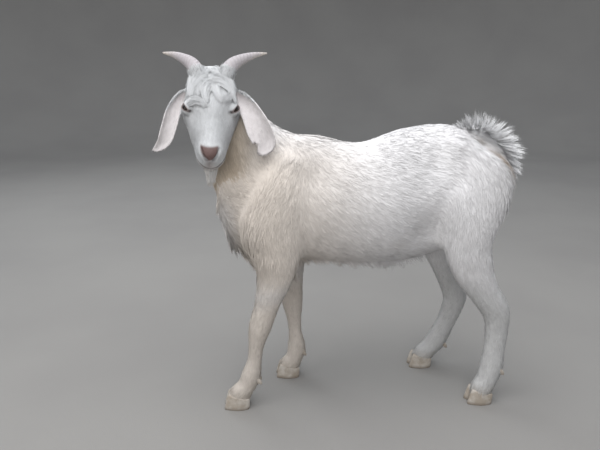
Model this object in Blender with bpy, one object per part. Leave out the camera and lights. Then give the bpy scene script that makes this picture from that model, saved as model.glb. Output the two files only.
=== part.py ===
"""A young white dairy goat, life size, standing with its head turned to its left.

Metres, +Z up. The body faces -X, the head looks along -Y, and the hooves stand on Z = 0.
Trunk, neck and legs are modelled as one smooth skin, out to the tips of the coat, and parted
into nodes with a small gap between each two. The head has a finer skin of its own. Tail, ears,
horns, eyes and claws are pieces let into it, each with the same gap. Dewclaws are fused to
the shanks, and flat tapered locks to the nodes where the coat hangs or stands clear.
"""

import math
import random
from collections import namedtuple

import bmesh
import bpy
import numpy as np
from mathutils import Matrix, Vector
from mathutils.bvhtree import BVHTree

for old in list(bpy.data.objects):
    bpy.data.objects.remove(old)

# Sizes that drive the rest
GAP = 0.0003
BODY_VOXEL = 0.006
BODY_TRIANGLES = 2200
HEAD_VOXEL = 0.0035
HEAD_TRIANGLES = 1400
EAR_THICK = 0.0042
EYE_RADIUS = 0.0125
HORN_BASE = 0.0165
CLAW_LENGTH = 0.060
CLAW_HEIGHT = 0.032
CLAW_WIDTH = 0.023
DEWCLAW_SIZE = 0.0075

SEED = 7

# Colours: linear red, green, blue, then roughness
COAT = (0.78, 0.74, 0.67, 0.85)
HORN = (0.55, 0.52, 0.50, 0.55)
HOOF = (0.30, 0.25, 0.20, 0.60)
EYE = (0.02, 0.015, 0.01, 0.08)


def material(name, look):
    found = bpy.data.materials.get(name)
    if found is None:
        found = bpy.data.materials.new(name)
        found.use_nodes = True
        shader = found.node_tree.nodes["Principled BSDF"]
        shader.inputs["Base Color"].default_value = (*look[:3], 1.0)
        shader.inputs["Roughness"].default_value = look[3]
        shader.inputs["Metallic"].default_value = 0.0
    return found


def add_object(name, bm):
    """A linked object that holds bm's mesh, which bm gives up."""
    mesh = bpy.data.meshes.new(name)
    bm.to_mesh(mesh)
    bm.free()
    made = bpy.data.objects.new(name, mesh)
    bpy.context.scene.collection.objects.link(made)
    return made


def bake(obj):
    """Applies the object's modifiers to its mesh."""
    graph = bpy.context.evaluated_depsgraph_get()
    mesh = bpy.data.meshes.new_from_object(obj.evaluated_get(graph))
    obj.modifiers.clear()
    obj.data = mesh


def outward(bm):
    """Turns every face of a closed mesh outwards."""
    bmesh.ops.recalc_face_normals(bm, faces=bm.faces)
    if bm.calc_volume(signed=True) < 0:
        bmesh.ops.reverse_faces(bm, faces=bm.faces)


def swollen(bm, grow):
    """Moves every face of a closed mesh outwards by about grow."""
    bm.normal_update()
    moves = [vert.normal * grow * min(3.0, vert.calc_shell_factor()) for vert in bm.verts]
    for vert, move in zip(bm.verts, moves):
        vert.co += move


def drop(*objs):
    for obj in objs:
        bpy.data.objects.remove(obj)


def smooth_rows(rows, per_span):
    """A Catmull-Rom curve through rows of numbers, per_span steps from one row to the next."""
    rows = np.array(rows, float)
    padded = np.vstack([2 * rows[0] - rows[1], rows, 2 * rows[-1] - rows[-2]])
    out = []
    for i in range(1, len(padded) - 2):
        a, b, c, d = padded[i - 1 : i + 3]
        for t in np.arange(per_span) / per_span:
            square = (2 * a - 5 * b + 4 * c - d) * t**2
            cube = (3 * b - a - 3 * c + d) * t**3
            out.append(0.5 * (2 * b + (c - a) * t + square + cube))
    out.append(rows[-1])
    return np.array(out)


def loft(stations, side, sides=20, per_span=3, box=1.0, pinch=(0.0, 0.0), grow=0.0):
    """A closed bmesh tube through stations (x, y, z, deep, wide).

    wide is its half size along side and deep the one across it. box under 1 squares the
    section, pinch narrows its deep+ and deep- sides, and grow fattens and lengthens it.
    """
    rows = smooth_rows(stations, per_span)
    centres = [Vector(row[:3]) for row in rows]
    bm = bmesh.new()
    bmesh.ops.create_uvsphere(bm, u_segments=sides, v_segments=len(rows) + 1, radius=1.0)
    for vert in bm.verts:
        k = round(math.acos(max(-1.0, min(1.0, vert.co.z))) / math.pi * (len(rows) + 1)) - 1
        at_pole = k < 0 or k >= len(rows)
        k = max(0, min(len(rows) - 1, k))
        ahead = (centres[min(k + 1, len(rows) - 1)] - centres[max(k - 1, 0)]).normalized()
        across = (side - side.dot(ahead) * ahead).normalized()
        up = across.cross(ahead)
        ring = Vector((vert.co.x, vert.co.y, 0.0))
        ring = Vector((0.0, 0.0, 0.0)) if at_pole else ring.normalized()
        a = math.copysign(abs(ring.x) ** box, ring.x)
        b = math.copysign(abs(ring.y) ** box, ring.y)
        a *= 1 - pinch[0] * max(0.0, ring.y) - pinch[1] * max(0.0, -ring.y)
        end = -grow if k == 0 else (grow if k == len(rows) - 1 else 0.0)
        vert.co = centres[k] + across * a * (rows[k][4] + grow) + up * b * (rows[k][3] + grow) + ahead * end
    outward(bm)
    return bm


def joined(name, meshes):
    """One object from several bmeshes, which may cross."""
    whole = bmesh.new()
    for bm in meshes:
        part = bpy.data.meshes.new("part")
        bm.to_mesh(part)
        bm.free()
        whole.from_mesh(part)
        bpy.data.meshes.remove(part)
    return add_object(name, whole)


def combine(obj, operation, tools, solver="MANIFOLD"):
    """One Boolean of obj with a list of objects, which are then removed."""
    group = bpy.data.collections.new("tools")
    bpy.context.scene.collection.children.link(group)
    for tool in tools:
        for holder in list(tool.users_collection):
            holder.objects.unlink(tool)
        group.objects.link(tool)
    step = obj.modifiers.new(operation, "BOOLEAN")
    step.operation = operation
    step.operand_type = "COLLECTION"
    step.collection = group
    step.solver = solver
    bake(obj)
    drop(*tools)
    bpy.data.collections.remove(group)


def island_of(face):
    """The faces of the loose part that holds this face."""
    part, stack = {face}, [face]
    while stack:
        for edge in stack.pop().edges:
            fresh = [other for other in edge.link_faces if other not in part]
            part.update(fresh)
            stack.extend(fresh)
    return part


def largest_only(obj):
    """Drops loose scraps and sealed hollows."""
    bm = bmesh.new()
    bm.from_mesh(obj.data)
    left, largest = set(bm.faces), set()
    while left:
        part = island_of(next(iter(left)))
        left -= part
        largest = max(largest, part, key=len)
    away = [face for face in bm.faces if face not in largest]
    bmesh.ops.delete(bm, geom=away, context="FACES")
    bm.to_mesh(obj.data)
    bm.free()


def swell(obj, at, reach, height, towards=None):
    """Raises, or with a negative height sinks, a soft round rise in the surface."""
    middle = Vector(at)
    mesh = obj.data
    normals = [vert.normal.copy() for vert in mesh.vertices]
    for vert, normal in zip(mesh.vertices, normals):
        share = math.exp(-((vert.co - middle).length_squared) / reach**2)
        if share > 0.01:
            vert.co += (towards or normal) * height * share
    mesh.update()


# Head frame: t runs down the face from the poll, up is out of the forehead, left is the goat's own left
POLL = Vector((-0.3350, -0.048, 0.790))
FACE_SLOPE = math.radians(54)
HEAD_YAW = math.radians(3)
HEAD_ROLL = math.radians(2.2)
TURN = Matrix.Rotation(HEAD_YAW, 3, "Z") @ Matrix.Rotation(HEAD_ROLL, 3, "Y")
DOWN_FACE = TURN @ Vector((0, -math.cos(FACE_SLOPE), -math.sin(FACE_SLOPE)))
HEAD_LEFT = TURN @ Vector((1, 0, 0))
HEAD_UP = DOWN_FACE.cross(HEAD_LEFT)


def head_point(t, up, left=0.0):
    return POLL + DOWN_FACE * t + HEAD_UP * up + HEAD_LEFT * left


# Trunk: x, height of the back, height of the belly, half width
TRUNK = [
    (-0.330, 0.495, 0.412, 0.034),
    (-0.308, 0.550, 0.372, 0.058),
    (-0.268, 0.600, 0.350, 0.077),
    (-0.215, 0.632, 0.350, 0.088),
    (-0.150, 0.650, 0.355, 0.097),
    (-0.080, 0.637, 0.350, 0.106),
    (0.000, 0.631, 0.345, 0.114),
    (0.070, 0.648, 0.346, 0.116),
    (0.130, 0.667, 0.360, 0.109),
    (0.190, 0.674, 0.390, 0.100),
    (0.250, 0.653, 0.418, 0.092),
    (0.298, 0.612, 0.440, 0.080),
    (0.330, 0.575, 0.462, 0.060),
    (0.350, 0.538, 0.490, 0.030),
]
# Neck: x, y, z, half depth, half width
NECK = [
    (-0.130, 0.000, 0.500, 0.125, 0.070),
    (-0.206, 0.000, 0.541, 0.127, 0.073),
    (-0.265, 0.003, 0.595, 0.104, 0.061),
    (-0.306, 0.005, 0.656, 0.084, 0.052),
    (-0.328, 0.000, 0.715, 0.064, 0.048),
    (-0.334, -0.012, 0.750, 0.040, 0.038),
]
# Head: distance down the face, top and bottom above the face line, half width
HEAD = [
    (-0.029, -0.047, -0.073, 0.022),
    (-0.019, -0.027, -0.092, 0.038),
    (0.000, -0.006, -0.106, 0.0510),
    (0.030, 0.001, -0.111, 0.0580),
    (0.060, 0.003, -0.114, 0.0590),
    (0.085, 0.001, -0.114, 0.0550),
    (0.112, -0.005, -0.111, 0.0480),
    (0.138, -0.009, -0.106, 0.0415),
    (0.160, -0.012, -0.102, 0.0360),
    (0.178, -0.015, -0.100, 0.0310),
    (0.191, -0.022, -0.095, 0.0245),
    (0.199, -0.036, -0.082, 0.0150),
]
# Legs: x, y, z, half depth, half width, from the shoulder or hip to inside the claws.
# KNEE is the station at the knee or hock, and FETLOCK the one over the dewclaws.
LEGS = {
    "front_left": [
        (-0.145, -0.052, 0.600, 0.040, 0.020),
        (-0.175, -0.064, 0.535, 0.066, 0.036),
        (-0.212, -0.070, 0.460, 0.072, 0.042),
        (-0.206, -0.073, 0.390, 0.060, 0.039),
        (-0.208, -0.073, 0.335, 0.045, 0.033),
        (-0.226, -0.072, 0.270, 0.031, 0.027),
        (-0.245, -0.071, 0.208, 0.028, 0.027),
        (-0.254, -0.070, 0.165, 0.0205, 0.021),
        (-0.259, -0.069, 0.125, 0.0185, 0.0185),
        (-0.268, -0.068, 0.085, 0.0240, 0.0225),
        (-0.280, -0.067, 0.055, 0.0230, 0.0225),
        (-0.297, -0.067, 0.030, 0.0270, 0.0245),
        (-0.302, -0.067, 0.012, 0.0200, 0.0180),
    ],
    "front_right": [
        (-0.145, 0.052, 0.600, 0.040, 0.020),
        (-0.175, 0.064, 0.535, 0.066, 0.036),
        (-0.212, 0.070, 0.460, 0.072, 0.042),
        (-0.190, 0.073, 0.390, 0.060, 0.039),
        (-0.170, 0.073, 0.335, 0.045, 0.033),
        (-0.163, 0.072, 0.270, 0.032, 0.027),
        (-0.160, 0.071, 0.208, 0.028, 0.027),
        (-0.156, 0.070, 0.165, 0.0210, 0.021),
        (-0.153, 0.069, 0.125, 0.0190, 0.0185),
        (-0.150, 0.068, 0.082, 0.0245, 0.0225),
        (-0.156, 0.067, 0.053, 0.0230, 0.0225),
        (-0.168, 0.067, 0.030, 0.0270, 0.0245),
        (-0.172, 0.067, 0.012, 0.0200, 0.0180),
    ],
    "hind_left": [
        (0.205, -0.045, 0.610, 0.060, 0.025),
        (0.237, -0.066, 0.540, 0.092, 0.040),
        (0.235, -0.078, 0.470, 0.082, 0.046),
        (0.233, -0.084, 0.405, 0.063, 0.042),
        (0.249, -0.086, 0.345, 0.051, 0.034),
        (0.278, -0.086, 0.290, 0.038, 0.027),
        (0.312, -0.086, 0.238, 0.0345, 0.0245),
        (0.319, -0.086, 0.195, 0.0300, 0.0215),
        (0.318, -0.087, 0.145, 0.0280, 0.0195),
        (0.314, -0.088, 0.095, 0.0300, 0.0225),
        (0.305, -0.090, 0.060, 0.0265, 0.0235),
        (0.292, -0.091, 0.032, 0.0270, 0.0250),
        (0.287, -0.091, 0.012, 0.0200, 0.0180),
    ],
    "hind_right": [
        (0.205, 0.045, 0.610, 0.060, 0.025),
        (0.237, 0.066, 0.540, 0.092, 0.040),
        (0.231, 0.078, 0.470, 0.082, 0.046),
        (0.221, 0.084, 0.405, 0.063, 0.042),
        (0.230, 0.086, 0.345, 0.051, 0.034),
        (0.252, 0.086, 0.280, 0.038, 0.027),
        (0.276, 0.086, 0.212, 0.0340, 0.0245),
        (0.270, 0.086, 0.168, 0.0300, 0.0215),
        (0.254, 0.087, 0.122, 0.0275, 0.0195),
        (0.234, 0.088, 0.078, 0.0290, 0.0225),
        (0.216, 0.090, 0.052, 0.0260, 0.0235),
        (0.198, 0.091, 0.030, 0.0270, 0.0250),
        (0.192, 0.091, 0.012, 0.0200, 0.0180),
    ],
}
KNEE = 6
FETLOCK = 9
# Where each pair of claws stands: x, y of its middle
HOOVES = {
    "front_left": (-0.304, -0.067),
    "front_right": (-0.174, 0.067),
    "hind_left": (0.286, -0.091),
    "hind_right": (0.190, 0.091),
}
# Tail: x, z, half depth, half width, raised from the rump and curling over
TAIL = [
    (0.180, 0.626, 0.018, 0.022),
    (0.216, 0.644, 0.0190, 0.023),
    (0.256, 0.651, 0.0190, 0.023),
    (0.292, 0.637, 0.0175, 0.021),
    (0.320, 0.608, 0.0150, 0.018),
    (0.337, 0.572, 0.0100, 0.012),
]

SIDEWAYS = Vector((0, 1, 0))


def trunk_mesh():
    rows = [(x, 0, (top + low) / 2, (top - low) / 2, half) for x, top, low, half in TRUNK]
    return loft(rows, SIDEWAYS, sides=28, box=0.92, pinch=(0.0, 0.16))


def head_mesh():
    rows = []
    for t, top, low, half in HEAD:
        middle = head_point(t, (top + low) / 2)
        rows.append((*middle, (top - low) / 2, half))
    return loft(rows, HEAD_LEFT, sides=28, box=0.90, pinch=(0.20, 0.24))


def leg_mesh(name):
    return loft(LEGS[name], SIDEWAYS, sides=18)


def tail_mesh():
    return loft([(x, 0, z, deep, wide) for x, z, deep, wide in TAIL], SIDEWAYS, sides=12, per_span=2)


def fused(obj, voxel):
    step = obj.modifiers.new("fuse", "REMESH")
    step.mode = "VOXEL"
    step.voxel_size = voxel
    bake(obj)


def eased(obj, times, group=""):
    step = obj.modifiers.new("smooth", "SMOOTH")
    step.factor = 0.6
    step.iterations = times
    step.vertex_group = group
    bake(obj)


# Smoothing steps for the whole skin, and for the part of it above a height, faded in
EASE_ALL = 3
EASE_UPPER = 14
UPPER_FROM = 0.30
UPPER_FADE = 0.10
EASE_HEAD = 5


def flesh():
    """Trunk, neck and legs as one skin, smoothed most above the elbows and stifles."""
    meshes = [trunk_mesh(), loft(NECK, SIDEWAYS, sides=24)] + [leg_mesh(name) for name in LEGS]
    body = joined("flesh", meshes)
    fused(body, BODY_VOXEL)
    upper = body.vertex_groups.new(name="upper")
    for vert in body.data.vertices:
        share = (vert.co.z - UPPER_FROM) / UPPER_FADE
        upper.add([vert.index], min(1.0, max(0.0, share)), "REPLACE")
    eased(body, EASE_ALL)
    eased(body, EASE_UPPER, "upper")
    shape_muscles(body)
    decimated(body, BODY_TRIANGLES)
    return body


def skull():
    """The head with its lids, without ears, horns and eyes."""
    head = joined("head", [head_mesh(), lid_mesh(-1), lid_mesh(1)])
    fused(head, HEAD_VOXEL)
    eased(head, EASE_HEAD)
    shape_face(head)
    decimated(head, HEAD_TRIANGLES)
    return head


def shape_muscles(body):
    for side in (-1, 1):
        swell(body, (-0.262, side * 0.080, 0.450), 0.040, 0.007)
        swell(body, (-0.120, side * 0.095, 0.560), 0.045, -0.006)
        swell(body, (0.135, side * 0.105, 0.430), 0.050, -0.012)
        swell(body, (0.150, side * 0.095, 0.590), 0.045, -0.007)
        swell(body, (0.205, side * 0.070, 0.640), 0.030, 0.006)
        swell(body, (0.330, side * 0.050, 0.565), 0.030, 0.006)
        swell(body, (-0.320, side * 0.050, 0.560), 0.045, -0.005)


def shape_face(body):
    for left in (-1, 1):
        swell(body, head_point(0.066, -0.005, left * 0.042), 0.018, 0.006)
        swell(body, head_point(0.080, -0.034, left * 0.053), 0.018, 0.002)
        swell(body, head_point(0.040, -0.002, left * 0.024), 0.020, 0.005)
        swell(body, head_point(0.100, -0.018, left * 0.040), 0.020, -0.004)
        swell(body, head_point(0.085, -0.080, left * 0.045), 0.026, 0.003)
        swell(body, head_point(0.150, -0.045, left * 0.036), 0.022, -0.002)
        swell(body, head_point(0.176, -0.030, left * 0.022), 0.014, 0.003)
        swell(body, head_point(0.184, -0.060, left * 0.026), 0.012, 0.003)
    swell(body, head_point(0.030, 0.000), 0.014, -0.003)
    swell(body, head_point(0.186, -0.076), 0.016, 0.005, -HEAD_UP)


def decimated(obj, triangles):
    mesh = obj.data
    mesh.calc_loop_triangles()
    step = obj.modifiers.new("fewer", "DECIMATE")
    step.ratio = triangles / len(mesh.loop_triangles)
    step.use_collapse_triangulate = True
    bake(obj)
    obj.vertex_groups.clear()


# Ears: path from the root, as outwards, y and z from the root, then half width and how far the cup closes
EAR_PATHS = {
    1: [
        (0.000, 0.000, 0.000, 0.0120, 1.50),
        (0.021, -0.014, -0.016, 0.0170, 1.30),
        (0.038, -0.030, -0.042, 0.0225, 1.00),
        (0.051, -0.040, -0.073, 0.0265, 0.85),
        (0.061, -0.043, -0.101, 0.0240, 0.75),
        (0.054, -0.043, -0.124, 0.0060, 0.45),
    ],
    -1: [
        (0.000, 0.000, 0.000, 0.0110, 1.55),
        (0.018, -0.010, -0.014, 0.0145, 1.45),
        (0.033, -0.020, -0.040, 0.0165, 1.30),
        (0.043, -0.028, -0.072, 0.0170, 1.10),
        (0.053, -0.032, -0.098, 0.0155, 0.90),
        (0.076, -0.034, -0.118, 0.0045, 0.50),
    ],
}
EAR_ROOT = (0.030, -0.046, 0.048)


def ear_mesh(left, grow=0.0):
    """A cupped leaf that hangs from the side of the skull, open to the front."""
    root = head_point(EAR_ROOT[0], EAR_ROOT[1], left * EAR_ROOT[2])
    rows = smooth_rows(EAR_PATHS[left], 2)
    columns = 5
    bm = bmesh.new()
    bmesh.ops.create_grid(bm, x_segments=len(rows) - 1, y_segments=columns, size=1.0)
    points = [root + Vector((left * row[0], row[1], row[2])) for row in rows]
    for vert in bm.verts:
        k = round((vert.co.x + 1) / 2 * (len(rows) - 1))
        angle = vert.co.y * rows[k][4]
        ahead = (points[min(k + 1, len(rows) - 1)] - points[max(k - 1, 0)]).normalized()
        facing = Vector((-0.25 * left, -1.0, 0.0))
        facing = (facing - facing.dot(ahead) * ahead).normalized()
        across = ahead.cross(facing)
        radius = rows[k][3] / math.sin(min(rows[k][4], math.pi / 2))
        vert.co = points[k] + across * radius * math.sin(angle) + facing * radius * (1 - math.cos(angle))
    bmesh.ops.recalc_face_normals(bm, faces=bm.faces)
    bmesh.ops.solidify(bm, geom=list(bm.faces), thickness=EAR_THICK)
    outward(bm)
    swollen(bm, grow)
    return bm


# Horns: left-right, back from the root along y, z, share of the base size
HORN_PATH = [
    (-0.004, -0.010, -0.016, 1.00),
    (0.002, 0.000, 0.002, 0.98),
    (0.014, 0.012, 0.017, 0.86),
    (0.034, 0.024, 0.028, 0.64),
    (0.058, 0.036, 0.036, 0.38),
    (0.084, 0.046, 0.040, 0.09),
]
HORN_SWEEP = {1: 1.03, -1: 0.90}
HORN_ROOT = {1: (0.004, -0.008, 0.032), -1: (0.006, -0.008, 0.028)}


def horn_mesh(left, grow=0.0):
    t, up, across = HORN_ROOT[left]
    root = head_point(t, up, left * across)
    rows = []
    for out, back, rise, share in HORN_PATH:
        at = root + Vector((left * out * HORN_SWEEP[left], back, rise))
        rows.append((*at, HORN_BASE * share, HORN_BASE * 0.78 * share))
    return loft(rows, Vector((0, 1, 0)), sides=10, per_span=2, grow=grow)


EYE_AT = (0.0815, -0.0265, 0.0455)


def eye_middle(left):
    return head_point(EYE_AT[0], EYE_AT[1], left * EYE_AT[2])


def eye_mesh(left, grow=0.0):
    bm = bmesh.new()
    at = Matrix.Translation(eye_middle(left))
    bmesh.ops.create_uvsphere(bm, u_segments=14, v_segments=8, radius=EYE_RADIUS + grow, matrix=at)
    return bm


# Lids: how thick they are over the eyeball, and half length, half height of the opening
LID_THICK = 0.0042
LID_OPENING = (0.0118, 0.0066)


def lid_mesh(left):
    """A shell over the eyeball, which the eye's socket later hollows."""
    bm = bmesh.new()
    at = Matrix.Translation(eye_middle(left))
    bmesh.ops.create_uvsphere(bm, u_segments=14, v_segments=8, radius=EYE_RADIUS + LID_THICK, matrix=at)
    return bm


def lid_opening(left):
    """A cutter for the almond gap between the lids, its inner corner low and forward."""
    out = (HEAD_LEFT * left * 0.74 + HEAD_UP * 0.62 + DOWN_FACE * 0.12).normalized()
    along = DOWN_FACE * 0.90 + HEAD_UP * 0.44
    half_length, half_height = LID_OPENING
    rows = [(*(eye_middle(left) + out * reach), half_height, half_length) for reach in (0.003, 0.012, 0.024)]
    return loft(rows, along, sides=12, per_span=1, box=1.15)


# Mouth: distance down the face, height above the face line and left-right, from its corner
# on the left to the middle
MOUTH = [
    (0.150, -0.070, 0.0400),
    (0.166, -0.073, 0.0355),
    (0.186, -0.073, 0.0250),
    (0.199, -0.068, 0.0100),
]
MOUTH_GAPE = 0.0008
MOUTH_DEPTH = 0.006
# Nostril slit: the same three numbers, from its upper outer end to its lower inner end, then
# half depth, half width
NOSTRIL = [
    (0.1750, -0.0170, 0.0190, 0.0035, 0.0018),
    (0.1845, -0.0210, 0.0155, 0.0050, 0.0028),
    (0.1935, -0.0290, 0.0090, 0.0040, 0.0016),
]


def mouth_mesh():
    path = MOUTH + [(t, up, -left) for t, up, left in reversed(MOUTH)]
    rows = [(*head_point(t, up, left), MOUTH_DEPTH, MOUTH_GAPE) for t, up, left in path]
    return loft(rows, HEAD_UP, sides=6, per_span=1)


def nostril_mesh(left):
    rows = []
    for t, up, across, deep, wide in NOSTRIL:
        rows.append((*head_point(t, up, left * across), deep, wide))
    return loft(rows, HEAD_LEFT, sides=6, per_span=2)


# Claw: half the cleft between the two, how much its front narrows, rises and leans back
CLEFT = 0.0012
TOE_TAPER = 0.45
TOE_RISE = 0.18
CLAW_SIDES = 8
# Its rings: share of the height, share of the size, lean back
CLAW_RINGS = [(0.0, 1.0, 0.0), (1.0, 0.84, 0.20)]


def claw_mesh(name, outer, grow=0.0):
    """One half of a cloven hoof: a flat sole, an upright inner wall and a sloping toe."""
    x, y = HOOVES[name]
    out = (1 if y > 0 else -1) * (1 if outer else -1)
    bands = len(CLAW_RINGS) + 1
    bm = bmesh.new()
    bmesh.ops.create_uvsphere(bm, u_segments=CLAW_SIDES, v_segments=bands, radius=1.0)
    for vert in bm.verts:
        k = round(math.acos(max(-1.0, min(1.0, vert.co.z))) / math.pi * bands) - 1
        at_pole = k < 0 or k >= len(CLAW_RINGS)
        height, share, lean = CLAW_RINGS[max(0, min(len(CLAW_RINGS) - 1, k))]
        angle = math.atan2(vert.co.y, vert.co.x)
        along = 0.0 if at_pole else math.cos(angle)
        across = 0.0 if at_pole else math.sin(angle)
        toe = 1 - TOE_TAPER * max(0.0, -along)
        wide = 0.5 + 0.5 * across * (toe if across > 0 else 1.0)
        length = CLAW_LENGTH * share + 2 * grow
        width = CLAW_WIDTH * (0.9 + 0.1 * share) + 2 * grow
        rise = CLAW_HEIGHT * height * (1.0 - TOE_RISE * along)
        vert.co = (
            x + along * length / 2 + lean * CLAW_LENGTH / 2,
            y + out * (CLEFT - grow + wide * width),
            rise + (grow if height else -grow),
        )
    outward(bm)
    return bm


# Dewclaw: how far back, to the side and below the fetlock, then its shape and lean
DEWCLAW_BACK = 0.92
DEWCLAW_OUT = 0.52
DEWCLAW_BELOW = 0.012
DEWCLAW_SHAPE = (0.85, 0.75, 1.3)
DEWCLAW_LEAN = math.radians(-35)


def dewclaw_at(name, outer):
    x, y, z, deep, wide = LEGS[name][FETLOCK]
    side = (1 if y > 0 else -1) * (1 if outer else -1)
    return Vector((x + deep * DEWCLAW_BACK, y + side * wide * DEWCLAW_OUT, z - DEWCLAW_BELOW))


def dewclaw_mesh(name, outer):
    bm = bmesh.new()
    lean = Matrix.Rotation(DEWCLAW_LEAN, 4, "Y")
    at = Matrix.Translation(dewclaw_at(name, outer)) @ lean @ Matrix.Diagonal((*DEWCLAW_SHAPE, 1.0))
    bmesh.ops.create_uvsphere(bm, u_segments=6, v_segments=4, radius=DEWCLAW_SIZE, matrix=at)
    return bm


def block(at, normal, half_a, half_b, a_axis, grow=0.0, depth=0.5):
    """A box on a plane through at, on the side that normal points to.

    half_a is its half size along a_axis and half_b the one across it.
    """
    normal = Vector(normal).normalized()
    a_axis = Vector(a_axis)
    a_axis = (a_axis - a_axis.dot(normal) * normal).normalized()
    frame = Matrix((a_axis, normal.cross(a_axis), normal)).transposed().to_4x4()
    frame.translation = Vector(at) + normal * (depth / 2 - grow)
    bm = bmesh.new()
    size = Matrix.Diagonal((2 * half_a + 2 * grow, 2 * half_b + 2 * grow, depth, 1.0))
    bmesh.ops.create_cube(bm, size=1.0, matrix=frame @ size)
    outward(bm)
    return add_object("region", bm)


# A fringe: first and last place that its roots lie near, how far they spread, how many
# locks, their length, half width, the way they flow, how far they lift off the surface,
# and how far the tips bend down
Fringe = namedtuple("Fringe", "first last spread count length half flow lift bend")
BEARD = Fringe(
    head_point(0.156, -0.106), head_point(0.193, -0.094), HEAD_LEFT * 0.017,
    13, 0.029, 0.0070, (0.0, -0.1, -1.0), 0.10, 0.12,
)
FORELOCK = Fringe(
    head_point(-0.010, -0.004), head_point(0.020, 0.002), HEAD_LEFT * 0.020,
    7, 0.030, 0.0075, (0.0, -0.6, -0.5), 0.42, 0.25,
)
BROWS = [
    Fringe(
        head_point(0.030, 0.004, side * 0.014), head_point(0.060, 0.004, side * 0.034), HEAD_LEFT * 0.008,
        4, 0.026, 0.0075, (side * 0.35, -0.5, -0.75), 0.35, 0.30,
    )
    for side in (-1, 1)
]
THROAT = Fringe(
    Vector((-0.352, 0.0, 0.600)), Vector((-0.335, 0.0, 0.500)), SIDEWAYS * 0.035,
    9, 0.036, 0.0085, (-0.02, 0.0, -1.0), 0.10, 0.08,
)
CREST = Fringe(
    Vector((-0.270, 0.0, 0.735)), Vector((-0.190, 0.0, 0.668)), SIDEWAYS * 0.012,
    9, 0.026, 0.0070, (0.8, 0.0, -0.1), 0.20, 0.20,
)
BRISKET = Fringe(
    Vector((-0.345, 0.0, 0.440)), Vector((-0.262, 0.0, 0.345)), SIDEWAYS * 0.036,
    20, 0.062, 0.0100, (0.05, 0.0, -1.0), 0.18, 0.10,
)
BELLY = Fringe(
    Vector((-0.140, 0.0, 0.340)), Vector((0.130, 0.0, 0.345)), SIDEWAYS * 0.045,
    16, 0.026, 0.0095, (0.55, 0.0, -0.60), 0.25, 0.20,
)
SHEATH = Fringe(
    Vector((0.035, 0.0, 0.335)), Vector((0.080, 0.0, 0.335)), SIDEWAYS * 0.010,
    4, 0.032, 0.0080, (0.30, 0.0, -0.80), 0.50, 0.20,
)
WITHERS = Fringe(
    Vector((-0.148, 0.0, 0.680)), Vector((-0.095, 0.0, 0.660)), SIDEWAYS * 0.014,
    7, 0.032, 0.0080, (0.80, 0.0, 0.20), 0.20, 0.15,
)
RUMP = Fringe(
    Vector((0.360, 0.0, 0.590)), Vector((0.370, 0.0, 0.520)), SIDEWAYS * 0.040,
    6, 0.034, 0.0085, (0.25, 0.0, -1.0), 0.32, 0.10,
)
THIGHS = {
    side: Fringe(
        Vector((0.375, side * 0.070, 0.560)), Vector((0.330, side * 0.085, 0.420)), SIDEWAYS * 0.020,
        9, 0.032, 0.0085, (0.08, 0.0, -1.0), 0.14, 0.12,
    )
    for side in (-1, 1)
}
FRINGES = {
    "head": [BEARD, FORELOCK, *BROWS],
    "neck": [THROAT, CREST],
    "torso": [BRISKET, BELLY, SHEATH, WITHERS, RUMP],
    "leg_hind_left": [THIGHS[-1]],
    "leg_hind_right": [THIGHS[1]],
}
# How far a lock's direction, length, half width and bend vary
FLOW_SPREAD = 0.15
LENGTH_SPREAD = (0.75, 1.2)
HALF_SPREAD = (0.8, 1.2)
BEND_SPREAD = (0.4, 1.4)
DOWN = Vector((0.0, 0.0, -1.0))
# A lock: half depth as a share of its half width, and how deep its root is sunk in
LOCK_DEPTH = 0.50
LOCK_SINK = 0.006
# Along a lock: share of its length, of its half width and of its depth
LOCK_SHAPE = [(0.0, 0.85, 1.0), (0.50, 0.95, 0.85), (1.0, 0.06, 0.1)]
FAN_SHAPE = [(0.0, 0.75, 1.0), (0.35, 1.0, 0.9), (0.72, 0.62, 0.6), (1.0, 0.06, 0.1)]


def lock_mesh(root, normal, flow, length, half, bend, shape=LOCK_SHAPE):
    """A flat tapered lock that leaves the surface at root, follows flow and bends at its tip."""
    side = normal.cross(flow)
    rows = []
    for share, wide, deep in shape:
        at = root + flow * length * share + bend * length * share**2
        at -= normal * LOCK_SINK * (1 - share)
        rows.append((*at, half * LOCK_DEPTH * deep, half * wide))
    return loft(rows, side, sides=4, per_span=1)


def surface(obj):
    points = [vert.co for vert in obj.data.vertices]
    return BVHTree.FromPolygons(points, [face.vertices[:] for face in obj.data.polygons])


def fringe_locks(tree, fringe, rng):
    """The locks of one fringe, each a little different."""
    locks = []
    for i in range(fringe.count):
        share = (i + rng.uniform(0.1, 0.9)) / fringe.count
        guide = fringe.first.lerp(fringe.last, share) + fringe.spread * rng.uniform(-1.0, 1.0)
        root, normal = tree.find_nearest(guide)[:2]
        way = Vector([x + rng.uniform(-FLOW_SPREAD, FLOW_SPREAD) for x in fringe.flow]).normalized()
        way = (way + normal * (fringe.lift - way.dot(normal))).normalized()
        length = fringe.length * rng.uniform(*LENGTH_SPREAD)
        half = fringe.half * rng.uniform(*HALF_SPREAD)
        bend = DOWN * fringe.bend * rng.uniform(*BEND_SPREAD)
        locks.append(lock_mesh(root, normal, way, length, half, bend))
    return locks


# Tail fan: how many rows of locks, the share of the tail where they start, how far each
# lock of a row leans to the side, their length, half width, how far they lean towards the
# tip, how far that varies, how far they bend that way, how deep their roots sit, and the
# point low in the tail's arch that they stand away from
FAN_ROWS = 7
FAN_START = 0.42
FAN_SIDES = (-1.0, -0.35, 0.35, 1.0)
FAN_LENGTH = 0.044
FAN_HALF = 0.0085
FAN_LEAN = 0.35
FAN_SPREAD = 0.18
FAN_BEND = 0.3
FAN_ROOT = 0.8
FAN_MIDDLE = Vector((0.268, 0.0, 0.595))


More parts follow.
